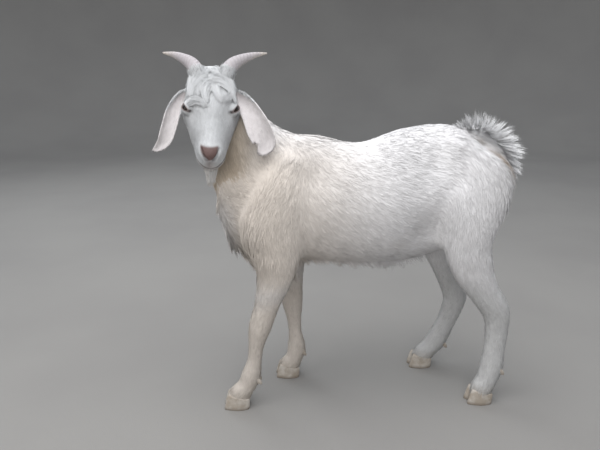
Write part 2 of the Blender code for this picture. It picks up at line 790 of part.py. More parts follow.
def fan_locks(rng):
    """Long locks that radiate from the top and the end of the tail."""
    rows = smooth_rows(TAIL, 4)
    locks = []
    for i in range(FAN_ROWS):
        k = round((FAN_START + (1 - FAN_START) * i / (FAN_ROWS - 1)) * (len(rows) - 2))
        at = Vector((rows[k][0], 0.0, rows[k][1]))
        ahead = (Vector((rows[k + 1][0], 0.0, rows[k + 1][1])) - at).normalized()
        up = (at - FAN_MIDDLE).normalized()
        for lean in FAN_SIDES:
            out = (up * math.cos(lean) + SIDEWAYS * math.sin(lean)).normalized()
            stray = Vector([rng.uniform(-FAN_SPREAD, FAN_SPREAD) for _ in range(3)])
            way = (out + ahead * FAN_LEAN + stray).normalized()
            normal = ahead.cross(way).cross(way)
            root = at + out * rows[k][2] * FAN_ROOT
            length = FAN_LENGTH * rng.uniform(0.85, 1.15)
            half = FAN_HALF * rng.uniform(0.85, 1.2)
            locks.append(lock_mesh(root, normal, way, length, half, ahead * FAN_BEND, FAN_SHAPE))
    return locks


def fused_fringe(nodes, name, locks, clear_of):
    """Joins the locks to their node, cut clear of the nodes that they would cross."""
    pieces = [add_object("lock", bm) for bm in locks]
    tuft = pieces[0]
    combine(tuft, "UNION", pieces[1:])
    combine(tuft, "DIFFERENCE", [copy_of(nodes[other], GAP) for other in clear_of])
    combine(nodes[name], "UNION", [tuft])


CLEAR_OF = {
    "head": ("neck", "horn_left", "horn_right", "eye_left", "eye_right"),
    "neck": ("torso", "head", "ear_left", "ear_right"),
    "torso": ("neck", "leg_front_left", "leg_front_right", "leg_hind_left", "leg_hind_right", "tail"),
    "leg_hind_left": ("torso",),
    "leg_hind_right": ("torso",),
    "tail": ("torso",),
}


def add_fringes(nodes):
    rng = random.Random(SEED)
    fused_fringe(nodes, "tail", fan_locks(rng), CLEAR_OF["tail"])
    for name, fringes in FRINGES.items():
        tree = surface(nodes[name])
        locks = [bm for fringe in fringes for bm in fringe_locks(tree, fringe, rng)]
        fused_fringe(nodes, name, locks, CLEAR_OF[name])


# Where the neck parts from the torso: a point on the plane and the side that the neck lies on
NECK_CUT = ((-0.226, 0.0, 0.585), (-0.72, 0.0, 0.70))
NECK_ROOM = (0.3, 0.22)
# How much fatter than the leg the region that cuts it out is, and its first station
LEG_ROOM = 0.012
LEG_FROM = {"front": 2, "hind": 1}
REGION_VOXEL = 0.010
REGION_TRIANGLES = 110
# How far under the knee or hock the shank starts
SHANK_DROP = 0.012
SHANK_ROOM = (0.15, 0.06)


def neck_region(grow=0.0):
    return block(*NECK_CUT, *NECK_ROOM, (0, 1, 0), grow)


def leg_region(name):
    """The leg's own tube, a little fatter, from the shoulder or the haunch down."""
    stations = LEGS[name][LEG_FROM[name.split("_")[0]] :]
    region = add_object("region", loft(stations, SIDEWAYS, sides=14, per_span=2, grow=LEG_ROOM))
    fused(region, REGION_VOXEL)
    decimated(region, REGION_TRIANGLES)
    return region


def shank_region(name, grow=0.0):
    """All of a leg below its knee or hock."""
    x, y, z = LEGS[name][KNEE][:3]
    return block((x, y, z - SHANK_DROP), (0, 0, -1), *SHANK_ROOM, (1, 0, 0), grow)


def copy_of(obj, grow=0.0):
    """A linked copy, its faces moved outwards by grow."""
    bm = bmesh.new()
    bm.from_mesh(obj.data)
    if grow:
        swollen(bm, grow)
    return add_object("copy", bm)


def parted(whole, nodes):
    """Adds legs, shanks, neck and torso to the nodes, with a small gap between each two."""
    regions = [leg_region(name) for name in LEGS]
    for name, region in zip(LEGS, regions):
        leg = nodes["leg_" + name] = copy_of(whole)
        combine(leg, "INTERSECT", [copy_of(region)])
        shank = nodes["shank_" + name] = copy_of(leg)
        combine(shank, "INTERSECT", [shank_region(name)])
        combine(leg, "DIFFERENCE", [shank_region(name, GAP)])
    nodes["neck"] = copy_of(whole)
    combine(nodes["neck"], "INTERSECT", [neck_region()])
    combine(nodes["neck"], "DIFFERENCE", [copy_of(nodes["head"], GAP)])
    nodes["torso"] = whole
    away = [neck_region(GAP), copy_of(nodes["tail"], GAP)] + [copy_of(region, GAP) for region in regions]
    combine(whole, "DIFFERENCE", away)
    drop(*regions)


def add_head_pieces(nodes):
    """Horns, eyes and ears, with their sockets and the slits of the face cut into the head."""
    cutters = [mouth_mesh(), nostril_mesh(-1), nostril_mesh(1), lid_opening(-1), lid_opening(1)]
    for left, side in ((1, "left"), (-1, "right")):
        for kind, make in (("horn", horn_mesh), ("eye", eye_mesh), ("ear", ear_mesh)):
            cutters.append(make(left, GAP))
            nodes[f"{kind}_{side}"] = add_object("piece", make(left))
    combine(nodes["head"], "DIFFERENCE", [add_object("cutter", bm) for bm in cutters])


def add_claws(nodes):
    """Two claws let into each shank, and two dewclaws fused to it."""
    for name in LEGS:
        shank = nodes["shank_" + name]
        sockets = [add_object("socket", claw_mesh(name, outer, GAP)) for outer in (True, False)]
        combine(shank, "DIFFERENCE", sockets)
        dewclaws = [add_object("dewclaw", dewclaw_mesh(name, outer)) for outer in (True, False)]
        combine(shank, "UNION", dewclaws)
        for outer, word in ((True, "outer"), (False, "inner")):
            nodes[f"claw_{name}_{word}"] = add_object("claw", claw_mesh(name, outer))


def finish(nodes):
    """Names the nodes and gives each its material."""
    looks = {"horn": ("horn", HORN), "claw": ("hoof", HOOF), "eye": ("eye", EYE)}
    for name, obj in nodes.items():
        largest_only(obj)
        obj.name = name
        obj.data.name = name
        obj.data.materials.clear()
        obj.data.materials.append(material(*looks.get(name.split("_")[0], ("coat", COAT))))


def settle(objs):
    """Moves the goat so that the origin is under the middle of its box, on the floor."""
    points = np.array([v.co for obj in objs for v in obj.data.vertices])
    low, high = points.min(axis=0), points.max(axis=0)
    shift = Vector((-(low[0] + high[0]) / 2, -(low[1] + high[1]) / 2, -low[2]))
    for obj in objs:
        obj.data.transform(Matrix.Translation(shift))


def main():
    nodes = {"head": skull(), "tail": add_object("tail", tail_mesh())}
    parted(flesh(), nodes)
    add_head_pieces(nodes)
    add_claws(nodes)
    add_fringes(nodes)
    finish(nodes)
    settle(nodes.values())


main()
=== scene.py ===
"""A young white dairy goat in a plain pale studio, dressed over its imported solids.

Metres, in the row frame: +Z up, the body faces -X and the head looks along -Y. The forms are
planned round the goat's own middle, and SHIFT carries them to where the solids stand.
"""

import math

import bmesh
import bpy
import numpy as np
from mathutils import Matrix, Vector
from mathutils.bvhtree import BVHTree
from mathutils.kdtree import KDTree


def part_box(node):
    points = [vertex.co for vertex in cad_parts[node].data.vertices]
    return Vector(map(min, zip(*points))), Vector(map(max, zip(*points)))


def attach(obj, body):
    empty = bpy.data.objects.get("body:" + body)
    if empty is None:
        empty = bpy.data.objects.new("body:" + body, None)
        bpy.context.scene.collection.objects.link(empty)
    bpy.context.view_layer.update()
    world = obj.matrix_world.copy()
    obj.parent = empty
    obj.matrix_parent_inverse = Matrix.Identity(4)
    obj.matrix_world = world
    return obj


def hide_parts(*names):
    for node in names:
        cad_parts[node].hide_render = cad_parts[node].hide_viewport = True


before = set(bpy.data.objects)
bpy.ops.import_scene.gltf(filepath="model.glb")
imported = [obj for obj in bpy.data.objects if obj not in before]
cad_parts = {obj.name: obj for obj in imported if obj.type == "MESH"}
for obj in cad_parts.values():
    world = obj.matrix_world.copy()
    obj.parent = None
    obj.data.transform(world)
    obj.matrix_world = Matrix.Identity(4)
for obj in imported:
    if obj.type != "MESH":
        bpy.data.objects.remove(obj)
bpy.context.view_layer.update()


# The head's own frame, from which its eyes, horns, ears and mouth are placed. t runs down
# the face from the poll, up is out of the forehead, and left is the goat's own left. The
# left eye shows how far the solids stand from this plan.
POLL = Vector((-0.3350, -0.048, 0.790))
FACE_SLOPE = math.radians(54)
HEAD_YAW = math.radians(3)
HEAD_ROLL = math.radians(2.2)
TURN = Matrix.Rotation(HEAD_YAW, 3, "Z") @ Matrix.Rotation(HEAD_ROLL, 3, "Y")
DOWN_FACE = TURN @ Vector((0, -math.cos(FACE_SLOPE), -math.sin(FACE_SLOPE)))
HEAD_LEFT = TURN @ Vector((1, 0, 0))
HEAD_UP = DOWN_FACE.cross(HEAD_LEFT)
EYE_AT = (0.0815, -0.0265, 0.0455)
EYE_RADIUS = 0.0125


def head_point(t, up, left=0.0):
    return POLL + DOWN_FACE * t + HEAD_UP * up + HEAD_LEFT * left


def eye_middle(left):
    return head_point(EYE_AT[0], EYE_AT[1], left * EYE_AT[2])


low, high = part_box("eye_left")
SHIFT = (low + high) / 2 - eye_middle(1)


# The camera stands a good metre from the goat's left side, a little above its back, and
# looks down at it, as the photograph does.
CAMERA_AT = Vector((-0.243, -1.253, 0.787))
CAMERA_PITCH = math.radians(15.7)
CAMERA_WAY = Vector((0.0774, 0.9970, 0.0))
CAMERA_LENS = 33.18
CAMERA_SENSOR = 36

camera = bpy.data.objects.new("camera", bpy.data.cameras.new("camera"))
bpy.context.scene.collection.objects.link(camera)
camera.data.sensor_width = CAMERA_SENSOR
camera.data.lens = CAMERA_LENS
camera.location = CAMERA_AT + SHIFT
view = CAMERA_WAY * math.cos(CAMERA_PITCH) - Vector((0, 0, math.sin(CAMERA_PITCH)))
camera.rotation_euler = view.to_track_quat("-Z", "Y").to_euler()
bpy.context.scene.camera = camera


# The studio: a matt floor in pale warm grey that curves up into a low wall all round, under
# a large overhead softbox like a bright overcast sky, with weaker ones beside and behind.
STUDIO_RADIUS = 4.6
STUDIO_CURVE = 1.6
STUDIO_WALL = 1.2
CURVE_STEPS = 12
TURN_STEPS = 96
GRAIN_DEPTH = 0.0004
FLOOR_PALE = (0.29, 0.282, 0.27, 1.0)
FLOOR_WORN = (0.265, 0.257, 0.248, 1.0)
SKY = (0.86, 0.90, 0.96, 1.0)
SKY_STRENGTH = 0.68
# Softboxes: name, place, what they point at, size, watts, colour
SOFTBOXES = [
    ("overhead", (-0.3, -0.6, 3.0), (0.0, 0.0, 0.4), 2.6, 68, (1.0, 0.99, 0.98)),
    ("beside_camera", (-0.6, -3.0, 1.5), (0.05, 0.0, 0.5), 1.8, 26, (1.0, 0.98, 0.96)),
    ("before_chest", (-2.6, -1.2, 1.0), (-0.3, 0.0, 0.45), 1.4, 6, (1.0, 0.98, 0.95)),
    ("behind", (-1.6, 2.4, 2.2), (0.0, 0.0, 0.5), 1.6, 20, (0.93, 0.97, 1.0)),
]


class Value:
    """A socket of a material. Arithmetic on it adds Math nodes, node() any other node."""

    def __init__(self, tree, socket=None):
        self.tree = tree
        self.socket = socket

    def plug(self, target, value):
        if isinstance(value, Value):
            self.tree.links.new(value.socket, target)
        else:
            target.default_value = value

    def node(self, kind, settings=None, values=None, output=0):
        made = self.tree.nodes.new(kind)
        for key, setting in (settings or {}).items():
            if key == "stops":
                ramp = made.color_ramp
                while len(ramp.elements) < len(setting):
                    ramp.elements.new(0.5)
                for element, (place, colour) in zip(ramp.elements, setting):
                    element.position = place
                    element.color = colour
            else:
                setattr(made, key, setting)
        for key, value in (values or {}).items():
            self.plug(made.inputs[key], value)
        return Value(self.tree, made.outputs[output])

    def output(self, key):
        """Another output of the same node."""
        return Value(self.tree, self.socket.node.outputs[key])

    def math(self, operation, first, second=0.0):
        return self.node("ShaderNodeMath", {"operation": operation}, {0: first, 1: second})

    def mixed(self, factor, first, second):
        """The colour between first and second."""
        values = {0: factor, 6: first, 7: second}
        return self.node("ShaderNodeMix", {"data_type": "RGBA"}, values, output=2)

    def between(self, low, high):
        """0 below low and 1 above high, smooth in between."""
        values = {"Value": self, "From Min": low, "From Max": high}
        return self.node("ShaderNodeMapRange", {"interpolation_type": "SMOOTHSTEP"}, values)

    def __add__(self, other):
        return self.math("ADD", self, other)

    def __sub__(self, other):
        return self.math("SUBTRACT", self, other)

    def __rsub__(self, other):
        return self.math("SUBTRACT", other, self)

    def __mul__(self, other):
        return self.math("MULTIPLY", self, other)

    def __pow__(self, other):
        return self.math("POWER", self, other)

    __radd__ = __add__
    __rmul__ = __mul__


def material(name, roughness, **uniform):
    """A new material, the start of its expressions and a function that ends them."""
    made = bpy.data.materials.new(name)
    made.use_nodes = True
    shader = made.node_tree.nodes["Principled BSDF"]
    shader.inputs["Roughness"].default_value = roughness
    for key, value in uniform.items():
        shader.inputs[key.replace("_", " ")].default_value = value
    start = Value(made.node_tree)

    def ends(**links):
        for key, value in links.items():
            start.plug(shader.inputs[key.replace("_", " ")], value)

    return made, start, ends


def noise_on(start, place, scale, detail=3.0, stretch=(1.0, 1.0, 1.0)):
    """Noise at a place, its scale in grains a metre."""
    mapped = start.node("ShaderNodeMapping", None, {"Vector": place, "Scale": stretch})
    values = {"Vector": mapped, "Scale": scale, "Detail": detail}
    return start.node("ShaderNodeTexNoise", None, values)


def bumped(start, height, distance, strength=1.0):
    values = {"Height": height, "Distance": distance, "Strength": strength}
    return start.node("ShaderNodeBump", None, values)


def object_from(name, bm, finish, shift=SHIFT):
    """An object at the origin with bm's mesh, moved to where the solids stand."""
    mesh = bpy.data.meshes.new(name)
    bm.to_mesh(mesh)
    bm.free()
    mesh.transform(Matrix.Translation(shift))
    mesh.materials.append(finish)
    mesh.polygons.foreach_set("use_smooth", [True] * len(mesh.polygons))
    made = bpy.data.objects.new(name, mesh)
    bpy.context.scene.collection.objects.link(made)
    return made


floor_finish, start, ends = material("floor_finish", 0.85)
place = start.node("ShaderNodeTexCoord", output="Object")
worn = noise_on(start, place, 1.6).between(0.3, 0.75)
grain = noise_on(start, place, 350.0)
ends(Base_Color=start.mixed(worn, FLOOR_PALE, FLOOR_WORN), Normal=bumped(start, grain, GRAIN_DEPTH))
bm = bmesh.new()
profile = [bm.verts.new((0.0, 0.0, 0.0)), bm.verts.new((STUDIO_RADIUS, 0.0, 0.0))]
for k in range(1, CURVE_STEPS + 1):
    turn = math.radians(90 * k / CURVE_STEPS)
    across = STUDIO_RADIUS + STUDIO_CURVE * math.sin(turn)
    profile.append(bm.verts.new((across, 0.0, STUDIO_CURVE * (1 - math.cos(turn)))))
profile.append(bm.verts.new((STUDIO_RADIUS + STUDIO_CURVE, 0.0, STUDIO_CURVE + STUDIO_WALL)))
edges = [bm.edges.new(pair) for pair in zip(profile[:-1], profile[1:])]
whole = {"cent": (0, 0, 0), "axis": (0, 0, 1), "angle": math.tau, "steps": TURN_STEPS, "use_merge": True}
bmesh.ops.spin(bm, geom=profile + edges, **whole)
bmesh.ops.remove_doubles(bm, verts=bm.verts, dist=0.0001)
bmesh.ops.recalc_face_normals(bm, faces=bm.faces)
if min(bm.faces, key=lambda face: face.calc_center_median().z).normal.z < 0:
    bmesh.ops.reverse_faces(bm, faces=bm.faces)
floor = object_from("floor", bm, floor_finish, Vector((0, 0, 0)))

world = bpy.data.worlds.new("studio")
bpy.context.scene.world = world
world.use_nodes = True
world.node_tree.nodes["Background"].inputs["Color"].default_value = SKY
world.node_tree.nodes["Background"].inputs["Strength"].default_value = SKY_STRENGTH
for name, at, target, size, watts, colour in SOFTBOXES:
    lamp = bpy.data.lights.new(name, "AREA")
    lamp.size = size
    lamp.energy = watts
    lamp.color = colour
    box = bpy.data.objects.new(name, lamp)
    box.location = at
    box.rotation_euler = (Vector(target) - Vector(at)).to_track_quat("-Z", "Y").to_euler()
    bpy.context.scene.collection.objects.link(box)
bpy.context.scene.view_settings.view_transform = "Standard"


# The skin: one smooth hide over trunk, neck, legs, tail, head and ears, with the lids round
# the eyes, the mouth and the nostrils. It lies inside the solids by the depth of the coat.
# Its stations are those of the solids.
# Trunk: x, height of the back, height of the belly, half width
TRUNK = [
    (-0.330, 0.495, 0.412, 0.034),
    (-0.308, 0.550, 0.372, 0.058),
    (-0.268, 0.600, 0.350, 0.077),
    (-0.215, 0.632, 0.350, 0.088),
    (-0.150, 0.650, 0.355, 0.097),
    (-0.080, 0.637, 0.350, 0.106),
    (0.000, 0.631, 0.345, 0.114),
    (0.070, 0.648, 0.346, 0.116),
    (0.130, 0.667, 0.360, 0.109),
    (0.190, 0.674, 0.390, 0.100),
    (0.250, 0.653, 0.418, 0.092),
    (0.298, 0.612, 0.440, 0.080),
    (0.330, 0.575, 0.462, 0.060),
    (0.350, 0.538, 0.490, 0.030),
]
# Neck: x, y, z, half depth, half width
NECK = [
    (-0.130, 0.000, 0.500, 0.125, 0.070),
    (-0.206, 0.000, 0.541, 0.127, 0.073),
    (-0.265, 0.003, 0.595, 0.104, 0.061),
    (-0.306, 0.005, 0.656, 0.084, 0.052),
    (-0.328, 0.000, 0.715, 0.064, 0.048),
    (-0.334, -0.012, 0.750, 0.040, 0.038),
]
# Head: distance down the face, top and bottom above the face line, half width
HEAD = [
    (-0.029, -0.047, -0.073, 0.022),
    (-0.019, -0.027, -0.092, 0.038),
    (0.000, -0.006, -0.106, 0.0510),
    (0.030, 0.001, -0.111, 0.0580),
    (0.060, 0.003, -0.114, 0.0590),
    (0.085, 0.001, -0.114, 0.0550),
    (0.112, -0.005, -0.111, 0.0480),
    (0.138, -0.009, -0.106, 0.0415),
    (0.160, -0.012, -0.102, 0.0360),
    (0.178, -0.015, -0.100, 0.0310),
    (0.191, -0.022, -0.095, 0.0245),
    (0.199, -0.036, -0.082, 0.0150),
]
# Legs: x, y, z, half depth, half width, from the shoulder or hip to inside the claws.
# FETLOCK is the station over the dewclaws.
LEGS = {
    "front_left": [
        (-0.145, -0.052, 0.600, 0.040, 0.020),
        (-0.175, -0.064, 0.535, 0.066, 0.036),
        (-0.212, -0.070, 0.460, 0.072, 0.042),
        (-0.206, -0.073, 0.390, 0.060, 0.039),
        (-0.208, -0.073, 0.335, 0.045, 0.033),
        (-0.226, -0.072, 0.270, 0.031, 0.027),
        (-0.245, -0.071, 0.208, 0.028, 0.027),
        (-0.254, -0.070, 0.165, 0.0205, 0.021),
        (-0.259, -0.069, 0.125, 0.0185, 0.0185),
        (-0.268, -0.068, 0.085, 0.0240, 0.0225),
        (-0.280, -0.067, 0.055, 0.0230, 0.0225),
        (-0.297, -0.067, 0.030, 0.0270, 0.0245),
        (-0.302, -0.067, 0.012, 0.0200, 0.0180),
    ],
    "front_right": [
        (-0.145, 0.052, 0.600, 0.040, 0.020),
        (-0.175, 0.064, 0.535, 0.066, 0.036),
        (-0.212, 0.070, 0.460, 0.072, 0.042),
        (-0.190, 0.073, 0.390, 0.060, 0.039),
        (-0.170, 0.073, 0.335, 0.045, 0.033),
        (-0.163, 0.072, 0.270, 0.032, 0.027),
        (-0.160, 0.071, 0.208, 0.028, 0.027),
        (-0.156, 0.070, 0.165, 0.0210, 0.021),
        (-0.153, 0.069, 0.125, 0.0190, 0.0185),
        (-0.150, 0.068, 0.082, 0.0245, 0.0225),
        (-0.156, 0.067, 0.053, 0.0230, 0.0225),
        (-0.168, 0.067, 0.030, 0.0270, 0.0245),
        (-0.172, 0.067, 0.012, 0.0200, 0.0180),
    ],
    "hind_left": [
        (0.205, -0.045, 0.610, 0.060, 0.025),
        (0.237, -0.066, 0.540, 0.092, 0.040),
        (0.235, -0.078, 0.470, 0.082, 0.046),
        (0.233, -0.084, 0.405, 0.063, 0.042),
        (0.249, -0.086, 0.345, 0.051, 0.034),
        (0.278, -0.086, 0.290, 0.038, 0.027),
        (0.312, -0.086, 0.238, 0.0345, 0.0245),
        (0.319, -0.086, 0.195, 0.0300, 0.0215),
        (0.318, -0.087, 0.145, 0.0280, 0.0195),
        (0.314, -0.088, 0.095, 0.0300, 0.0225),
        (0.305, -0.090, 0.060, 0.0265, 0.0235),
        (0.292, -0.091, 0.032, 0.0270, 0.0250),
        (0.287, -0.091, 0.012, 0.0200, 0.0180),
    ],
    "hind_right": [
        (0.205, 0.045, 0.610, 0.060, 0.025),
        (0.237, 0.066, 0.540, 0.092, 0.040),
        (0.231, 0.078, 0.470, 0.082, 0.046),
        (0.221, 0.084, 0.405, 0.063, 0.042),
        (0.230, 0.086, 0.345, 0.051, 0.034),
        (0.252, 0.086, 0.280, 0.038, 0.027),
        (0.276, 0.086, 0.212, 0.0340, 0.0245),
        (0.270, 0.086, 0.168, 0.0300, 0.0215),
        (0.254, 0.087, 0.122, 0.0275, 0.0195),
        (0.234, 0.088, 0.078, 0.0290, 0.0225),
        (0.216, 0.090, 0.052, 0.0260, 0.0235),
        (0.198, 0.091, 0.030, 0.0270, 0.0250),
        (0.192, 0.091, 0.012, 0.0200, 0.0180),
    ],
}
FETLOCK = 9
# Where each pair of claws stands: x, y of its middle
HOOVES = {
    "front_left": (-0.304, -0.067),
    "front_right": (-0.174, 0.067),
    "hind_left": (0.286, -0.091),
    "hind_right": (0.190, 0.091),
}
# Tail: x, z, half depth, half width, raised from the rump and curling over
TAIL = [
    (0.180, 0.626, 0.018, 0.022),
    (0.216, 0.644, 0.0190, 0.023),
    (0.256, 0.651, 0.0190, 0.023),
    (0.292, 0.637, 0.0175, 0.021),
    (0.320, 0.608, 0.0150, 0.018),
    (0.337, 0.572, 0.0100, 0.012),
]
SIDEWAYS = Vector((0, 1, 0))
# Ears, 1 for the left and -1 for the right: how far out, along y and up each station stands
# from the root, its half width and how far its edges turn, in radians
EAR_PATHS = {
    1: [
        (0.002, 0.000, 0.002, 0.0130, 1.50),
        (0.024, -0.014, -0.015, 0.0180, 1.25),
        (0.041, -0.030, -0.042, 0.0240, 0.95),
        (0.055, -0.040, -0.072, 0.0285, 0.80),
        (0.065, -0.043, -0.096, 0.0260, 0.74),
        (0.062, -0.043, -0.111, 0.0185, 0.62),
        (0.052, -0.043, -0.124, 0.0065, 0.45),
    ],
    -1: [
        (0.000, 0.000, 0.000, 0.0110, 1.55),
        (0.018, -0.010, -0.014, 0.0145, 1.45),
        (0.033, -0.020, -0.040, 0.0165, 1.30),
        (0.043, -0.028, -0.072, 0.0170, 1.10),
        (0.052, -0.032, -0.096, 0.0155, 0.90),
        (0.064, -0.033, -0.110, 0.0105, 0.70),
        (0.076, -0.034, -0.118, 0.0045, 0.50),
    ],
}
EAR_ROOT = (0.030, -0.046, 0.048)
EAR_ACROSS = 24
EAR_THICK = 0.0032
LID_THICK = 0.0030
# Half length and half height of the opening between the lids
LID_OPENING = (0.0120, 0.0050)
# Lines on the head's left half, as head places: mouth, nostril and the groove below the eye
MOUTH = [
    (0.150, -0.062, 0.0395),
    (0.168, -0.058, 0.0340),
    (0.184, -0.055, 0.0260),
    (0.1935, -0.057, 0.0190),
    (0.1970, -0.065, 0.0105),
    (0.1990, -0.069, 0.0000),
]
NOSTRIL = [
    (0.1760, -0.0210, 0.0205),
    (0.1860, -0.0250, 0.0175),
    (0.1935, -0.0310, 0.0115),
    (0.1955, -0.0355, 0.0070),
]
TEAR = [(0.0860, -0.0240, 0.0490), (0.0950, -0.0175, 0.0390)]
BODY_VOXEL = 0.0048
HEAD_VOXEL = 0.0018
# Smoothing steps: the whole body, its upper part, the skull, and the head once it has ears
EASE_ALL = 5
EASE_UPPER = 22
EASE_SKULL = 19
EASE_HEAD = 4
EASE_LIDS = 8
UPPER_FROM = 0.30
UPPER_FADE = 0.10
EASE_SHARE = 0.6
# Rises (or with a negative height hollows) on both sides: place, reach, height. Point of the
# shoulder, shoulder blade, flank, loin, hip, seat, base of the neck, pit beside the tail, ham
BODY_SWELLS = [
    ((-0.262, 0.080, 0.450), 0.040, 0.007),
    ((-0.120, 0.095, 0.560), 0.045, -0.006),
    ((0.135, 0.105, 0.430), 0.050, -0.012),
    ((0.150, 0.095, 0.590), 0.045, -0.007),
    ((0.205, 0.070, 0.640), 0.030, 0.006),
    ((0.330, 0.050, 0.565), 0.030, 0.006),
    ((-0.320, 0.050, 0.560), 0.045, -0.005),
    ((0.280, 0.042, 0.632), 0.034, -0.010),
    ((0.318, 0.086, 0.432), 0.045, -0.006),
]
# The same on the skull, as head places: brow, below the eye, round the eye, forehead, bridge,
# jaw, cheek, nostril, lip, chin, horn boss, temple
SKULL_SWELLS = [
    ((0.066, -0.005, 0.042), 0.018, 0.006),
    ((0.080, -0.034, 0.053), 0.018, 0.002),
    ((0.084, -0.028, 0.052), 0.025, 0.0085),
    ((0.040, -0.002, 0.024), 0.020, 0.005),
    ((0.100, -0.018, 0.040), 0.020, -0.004),
    ((0.085, -0.080, 0.045), 0.026, 0.003),
    ((0.150, -0.045, 0.036), 0.022, -0.002),
    ((0.176, -0.030, 0.022), 0.014, 0.003),
    ((0.184, -0.060, 0.026), 0.012, 0.001),
    ((0.186, -0.080, 0.028), 0.016, -0.003),
    ((0.014, -0.004, 0.040), 0.024, 0.012),
    ((0.062, -0.002, 0.031), 0.014, 0.004),
]
PARTING = [(-0.004, -0.008, -0.005), (0.045, 0.002, 0.001), (0.078, 0.0, -0.010)]
CHIN = ((0.186, -0.076, 0.0), 0.016, 0.005)
PHILTRUM = [(0.1955, -0.034, 0.0), (0.2010, -0.062, 0.0)]
# How deep the coat lies over the body: on the trunk, on the legs and on the head
DEPTH_BODY = 0.0040
DEPTH_LEG = 0.0018
DEPTH_HEAD = 0.0012
DEPTH_FROM = 0.24
DEPTH_FADE = 0.16
JOIN_REACH = 0.014
JOIN_EASE = 12
NAPE = (-0.315, 0.0, 0.762)
NAPE_REACH = 0.042
NAPE_EASE = 60


def smooth_rows(rows, per_span):
    """A Catmull-Rom curve through rows of numbers, per_span steps between two rows."""
    rows = np.array(rows, float)
    padded = np.vstack([2 * rows[0] - rows[1], rows, 2 * rows[-1] - rows[-2]])
    out = []
    for i in range(1, len(padded) - 2):
        a, b, c, d = padded[i - 1 : i + 3]
        for t in np.arange(per_span) / per_span:
            square = (2 * a - 5 * b + 4 * c - d) * t**2
            cube = (3 * b - a - 3 * c + d) * t**3
            out.append(0.5 * (2 * b + (c - a) * t + square + cube))
    out.append(rows[-1])
    return np.array(out)


def outward(bm):
    bmesh.ops.recalc_face_normals(bm, faces=bm.faces)
    if bm.calc_volume(signed=True) < 0:
        bmesh.ops.reverse_faces(bm, faces=bm.faces)


def loft(stations, side, sides=40, per_span=6, box=1.0, pinch=(0.0, 0.0), grow=0.0):
    """A closed tube through stations (x, y, z, deep, wide), wide being half its size along side."""
    rows = smooth_rows(stations, per_span)
    centres = [Vector(row[:3]) for row in rows]
    bands = len(rows) + 1
    bm = bmesh.new()
    bmesh.ops.create_uvsphere(bm, u_segments=sides, v_segments=bands, radius=1.0)
    for vert in bm.verts:
        k = round(math.acos(max(-1.0, min(1.0, vert.co.z))) / math.pi * bands) - 1
        at_pole = k < 0 or k >= len(rows)
        k = max(0, min(len(rows) - 1, k))
        ahead = (centres[min(k + 1, len(rows) - 1)] - centres[max(k - 1, 0)]).normalized()
        across = (side - side.dot(ahead) * ahead).normalized()
        up = across.cross(ahead)
        ring = Vector((vert.co.x, vert.co.y, 0.0))
        ring = Vector((0.0, 0.0, 0.0)) if at_pole else ring.normalized()
        a = math.copysign(abs(ring.x) ** box, ring.x)
        b = math.copysign(abs(ring.y) ** box, ring.y)
        a *= 1 - pinch[0] * max(0.0, ring.y) - pinch[1] * max(0.0, -ring.y)
        end = -grow if k == 0 else (grow if k == len(rows) - 1 else 0.0)
        vert.co = centres[k] + across * a * (rows[k][4] + grow) + up * b * (rows[k][3] + grow) + ahead * end
    outward(bm)
    return bm


def joined(meshes):
    """A loose object from several bmeshes, which may cross."""
    whole = bmesh.new()
    for bm in meshes:
        part = bpy.data.meshes.new("part")
        bm.to_mesh(part)
        bm.free()
        whole.from_mesh(part)
        bpy.data.meshes.remove(part)
    mesh = bpy.data.meshes.new("form")
    whole.to_mesh(mesh)
    whole.free()
    made = bpy.data.objects.new("form", mesh)
    bpy.context.scene.collection.objects.link(made)
    return made


def bake(obj):
    graph = bpy.context.evaluated_depsgraph_get()
    mesh = bpy.data.meshes.new_from_object(obj.evaluated_get(graph))
    obj.modifiers.clear()
    obj.data = mesh


def fused(obj, voxel):
    step = obj.modifiers.new("fuse", "REMESH")
    step.mode = "VOXEL"
    step.voxel_size = voxel
    bake(obj)


def combined(obj, operation, tools):
    """One Boolean of obj with other objects, which are then removed.

    A cut leaves its new faces in no fixed order, so they are sorted for the same coat each run.
    """
    known = {vert.co[:] for vert in obj.data.vertices}
    for tool in tools:
        step = obj.modifiers.new(operation, "BOOLEAN")
        step.operation = operation
        step.object = tool
        step.solver = "MANIFOLD"
    bake(obj)
    for tool in tools:
        bpy.data.objects.remove(tool)
    if operation == "UNION":
        return
    points = [vert.co[:] for vert in obj.data.vertices]
    faces = [face.vertices[:] for face in obj.data.polygons]
    new = [k for k, face in enumerate(faces) if any(points[i] not in known for i in face)]
    for k, face in zip(new, sorted(faces[k] for k in new)):
        faces[k] = face
    obj.data.clear_geometry()
    obj.data.from_pydata(points, [], faces)


def places(mesh):
    co = np.zeros(len(mesh.vertices) * 3)
    mesh.vertices.foreach_get("co", co)
    return co.reshape(-1, 3)


def normals_of(mesh):
    flat = np.zeros(len(mesh.vertices) * 3)
    mesh.vertex_normals.foreach_get("vector", flat)
    return flat.reshape(-1, 3)


def place_all(mesh, co):
    mesh.vertices.foreach_set("co", co.astype(np.float32).ravel())
    mesh.update()


def averaged(mesh, values, times, weight=1.0):
    """Values on the vertices, eased towards the mean of their neighbours."""
    edges = np.zeros(len(mesh.edges) * 2, np.int64)
    mesh.edges.foreach_get("vertices", edges)
    first, second = edges.reshape(-1, 2).T
    size = len(mesh.vertices)
    count = np.maximum(1, np.bincount(first, minlength=size) + np.bincount(second, minlength=size))
    weight = np.broadcast_to(weight, size)
    values = values.copy()
    for _ in range(times):
        for k in range(values.shape[1]):
            column = values[:, k]
            total = np.bincount(first, column[second], size) + np.bincount(second, column[first], size)
            values[:, k] = column + weight * (total / count - column)
    return values


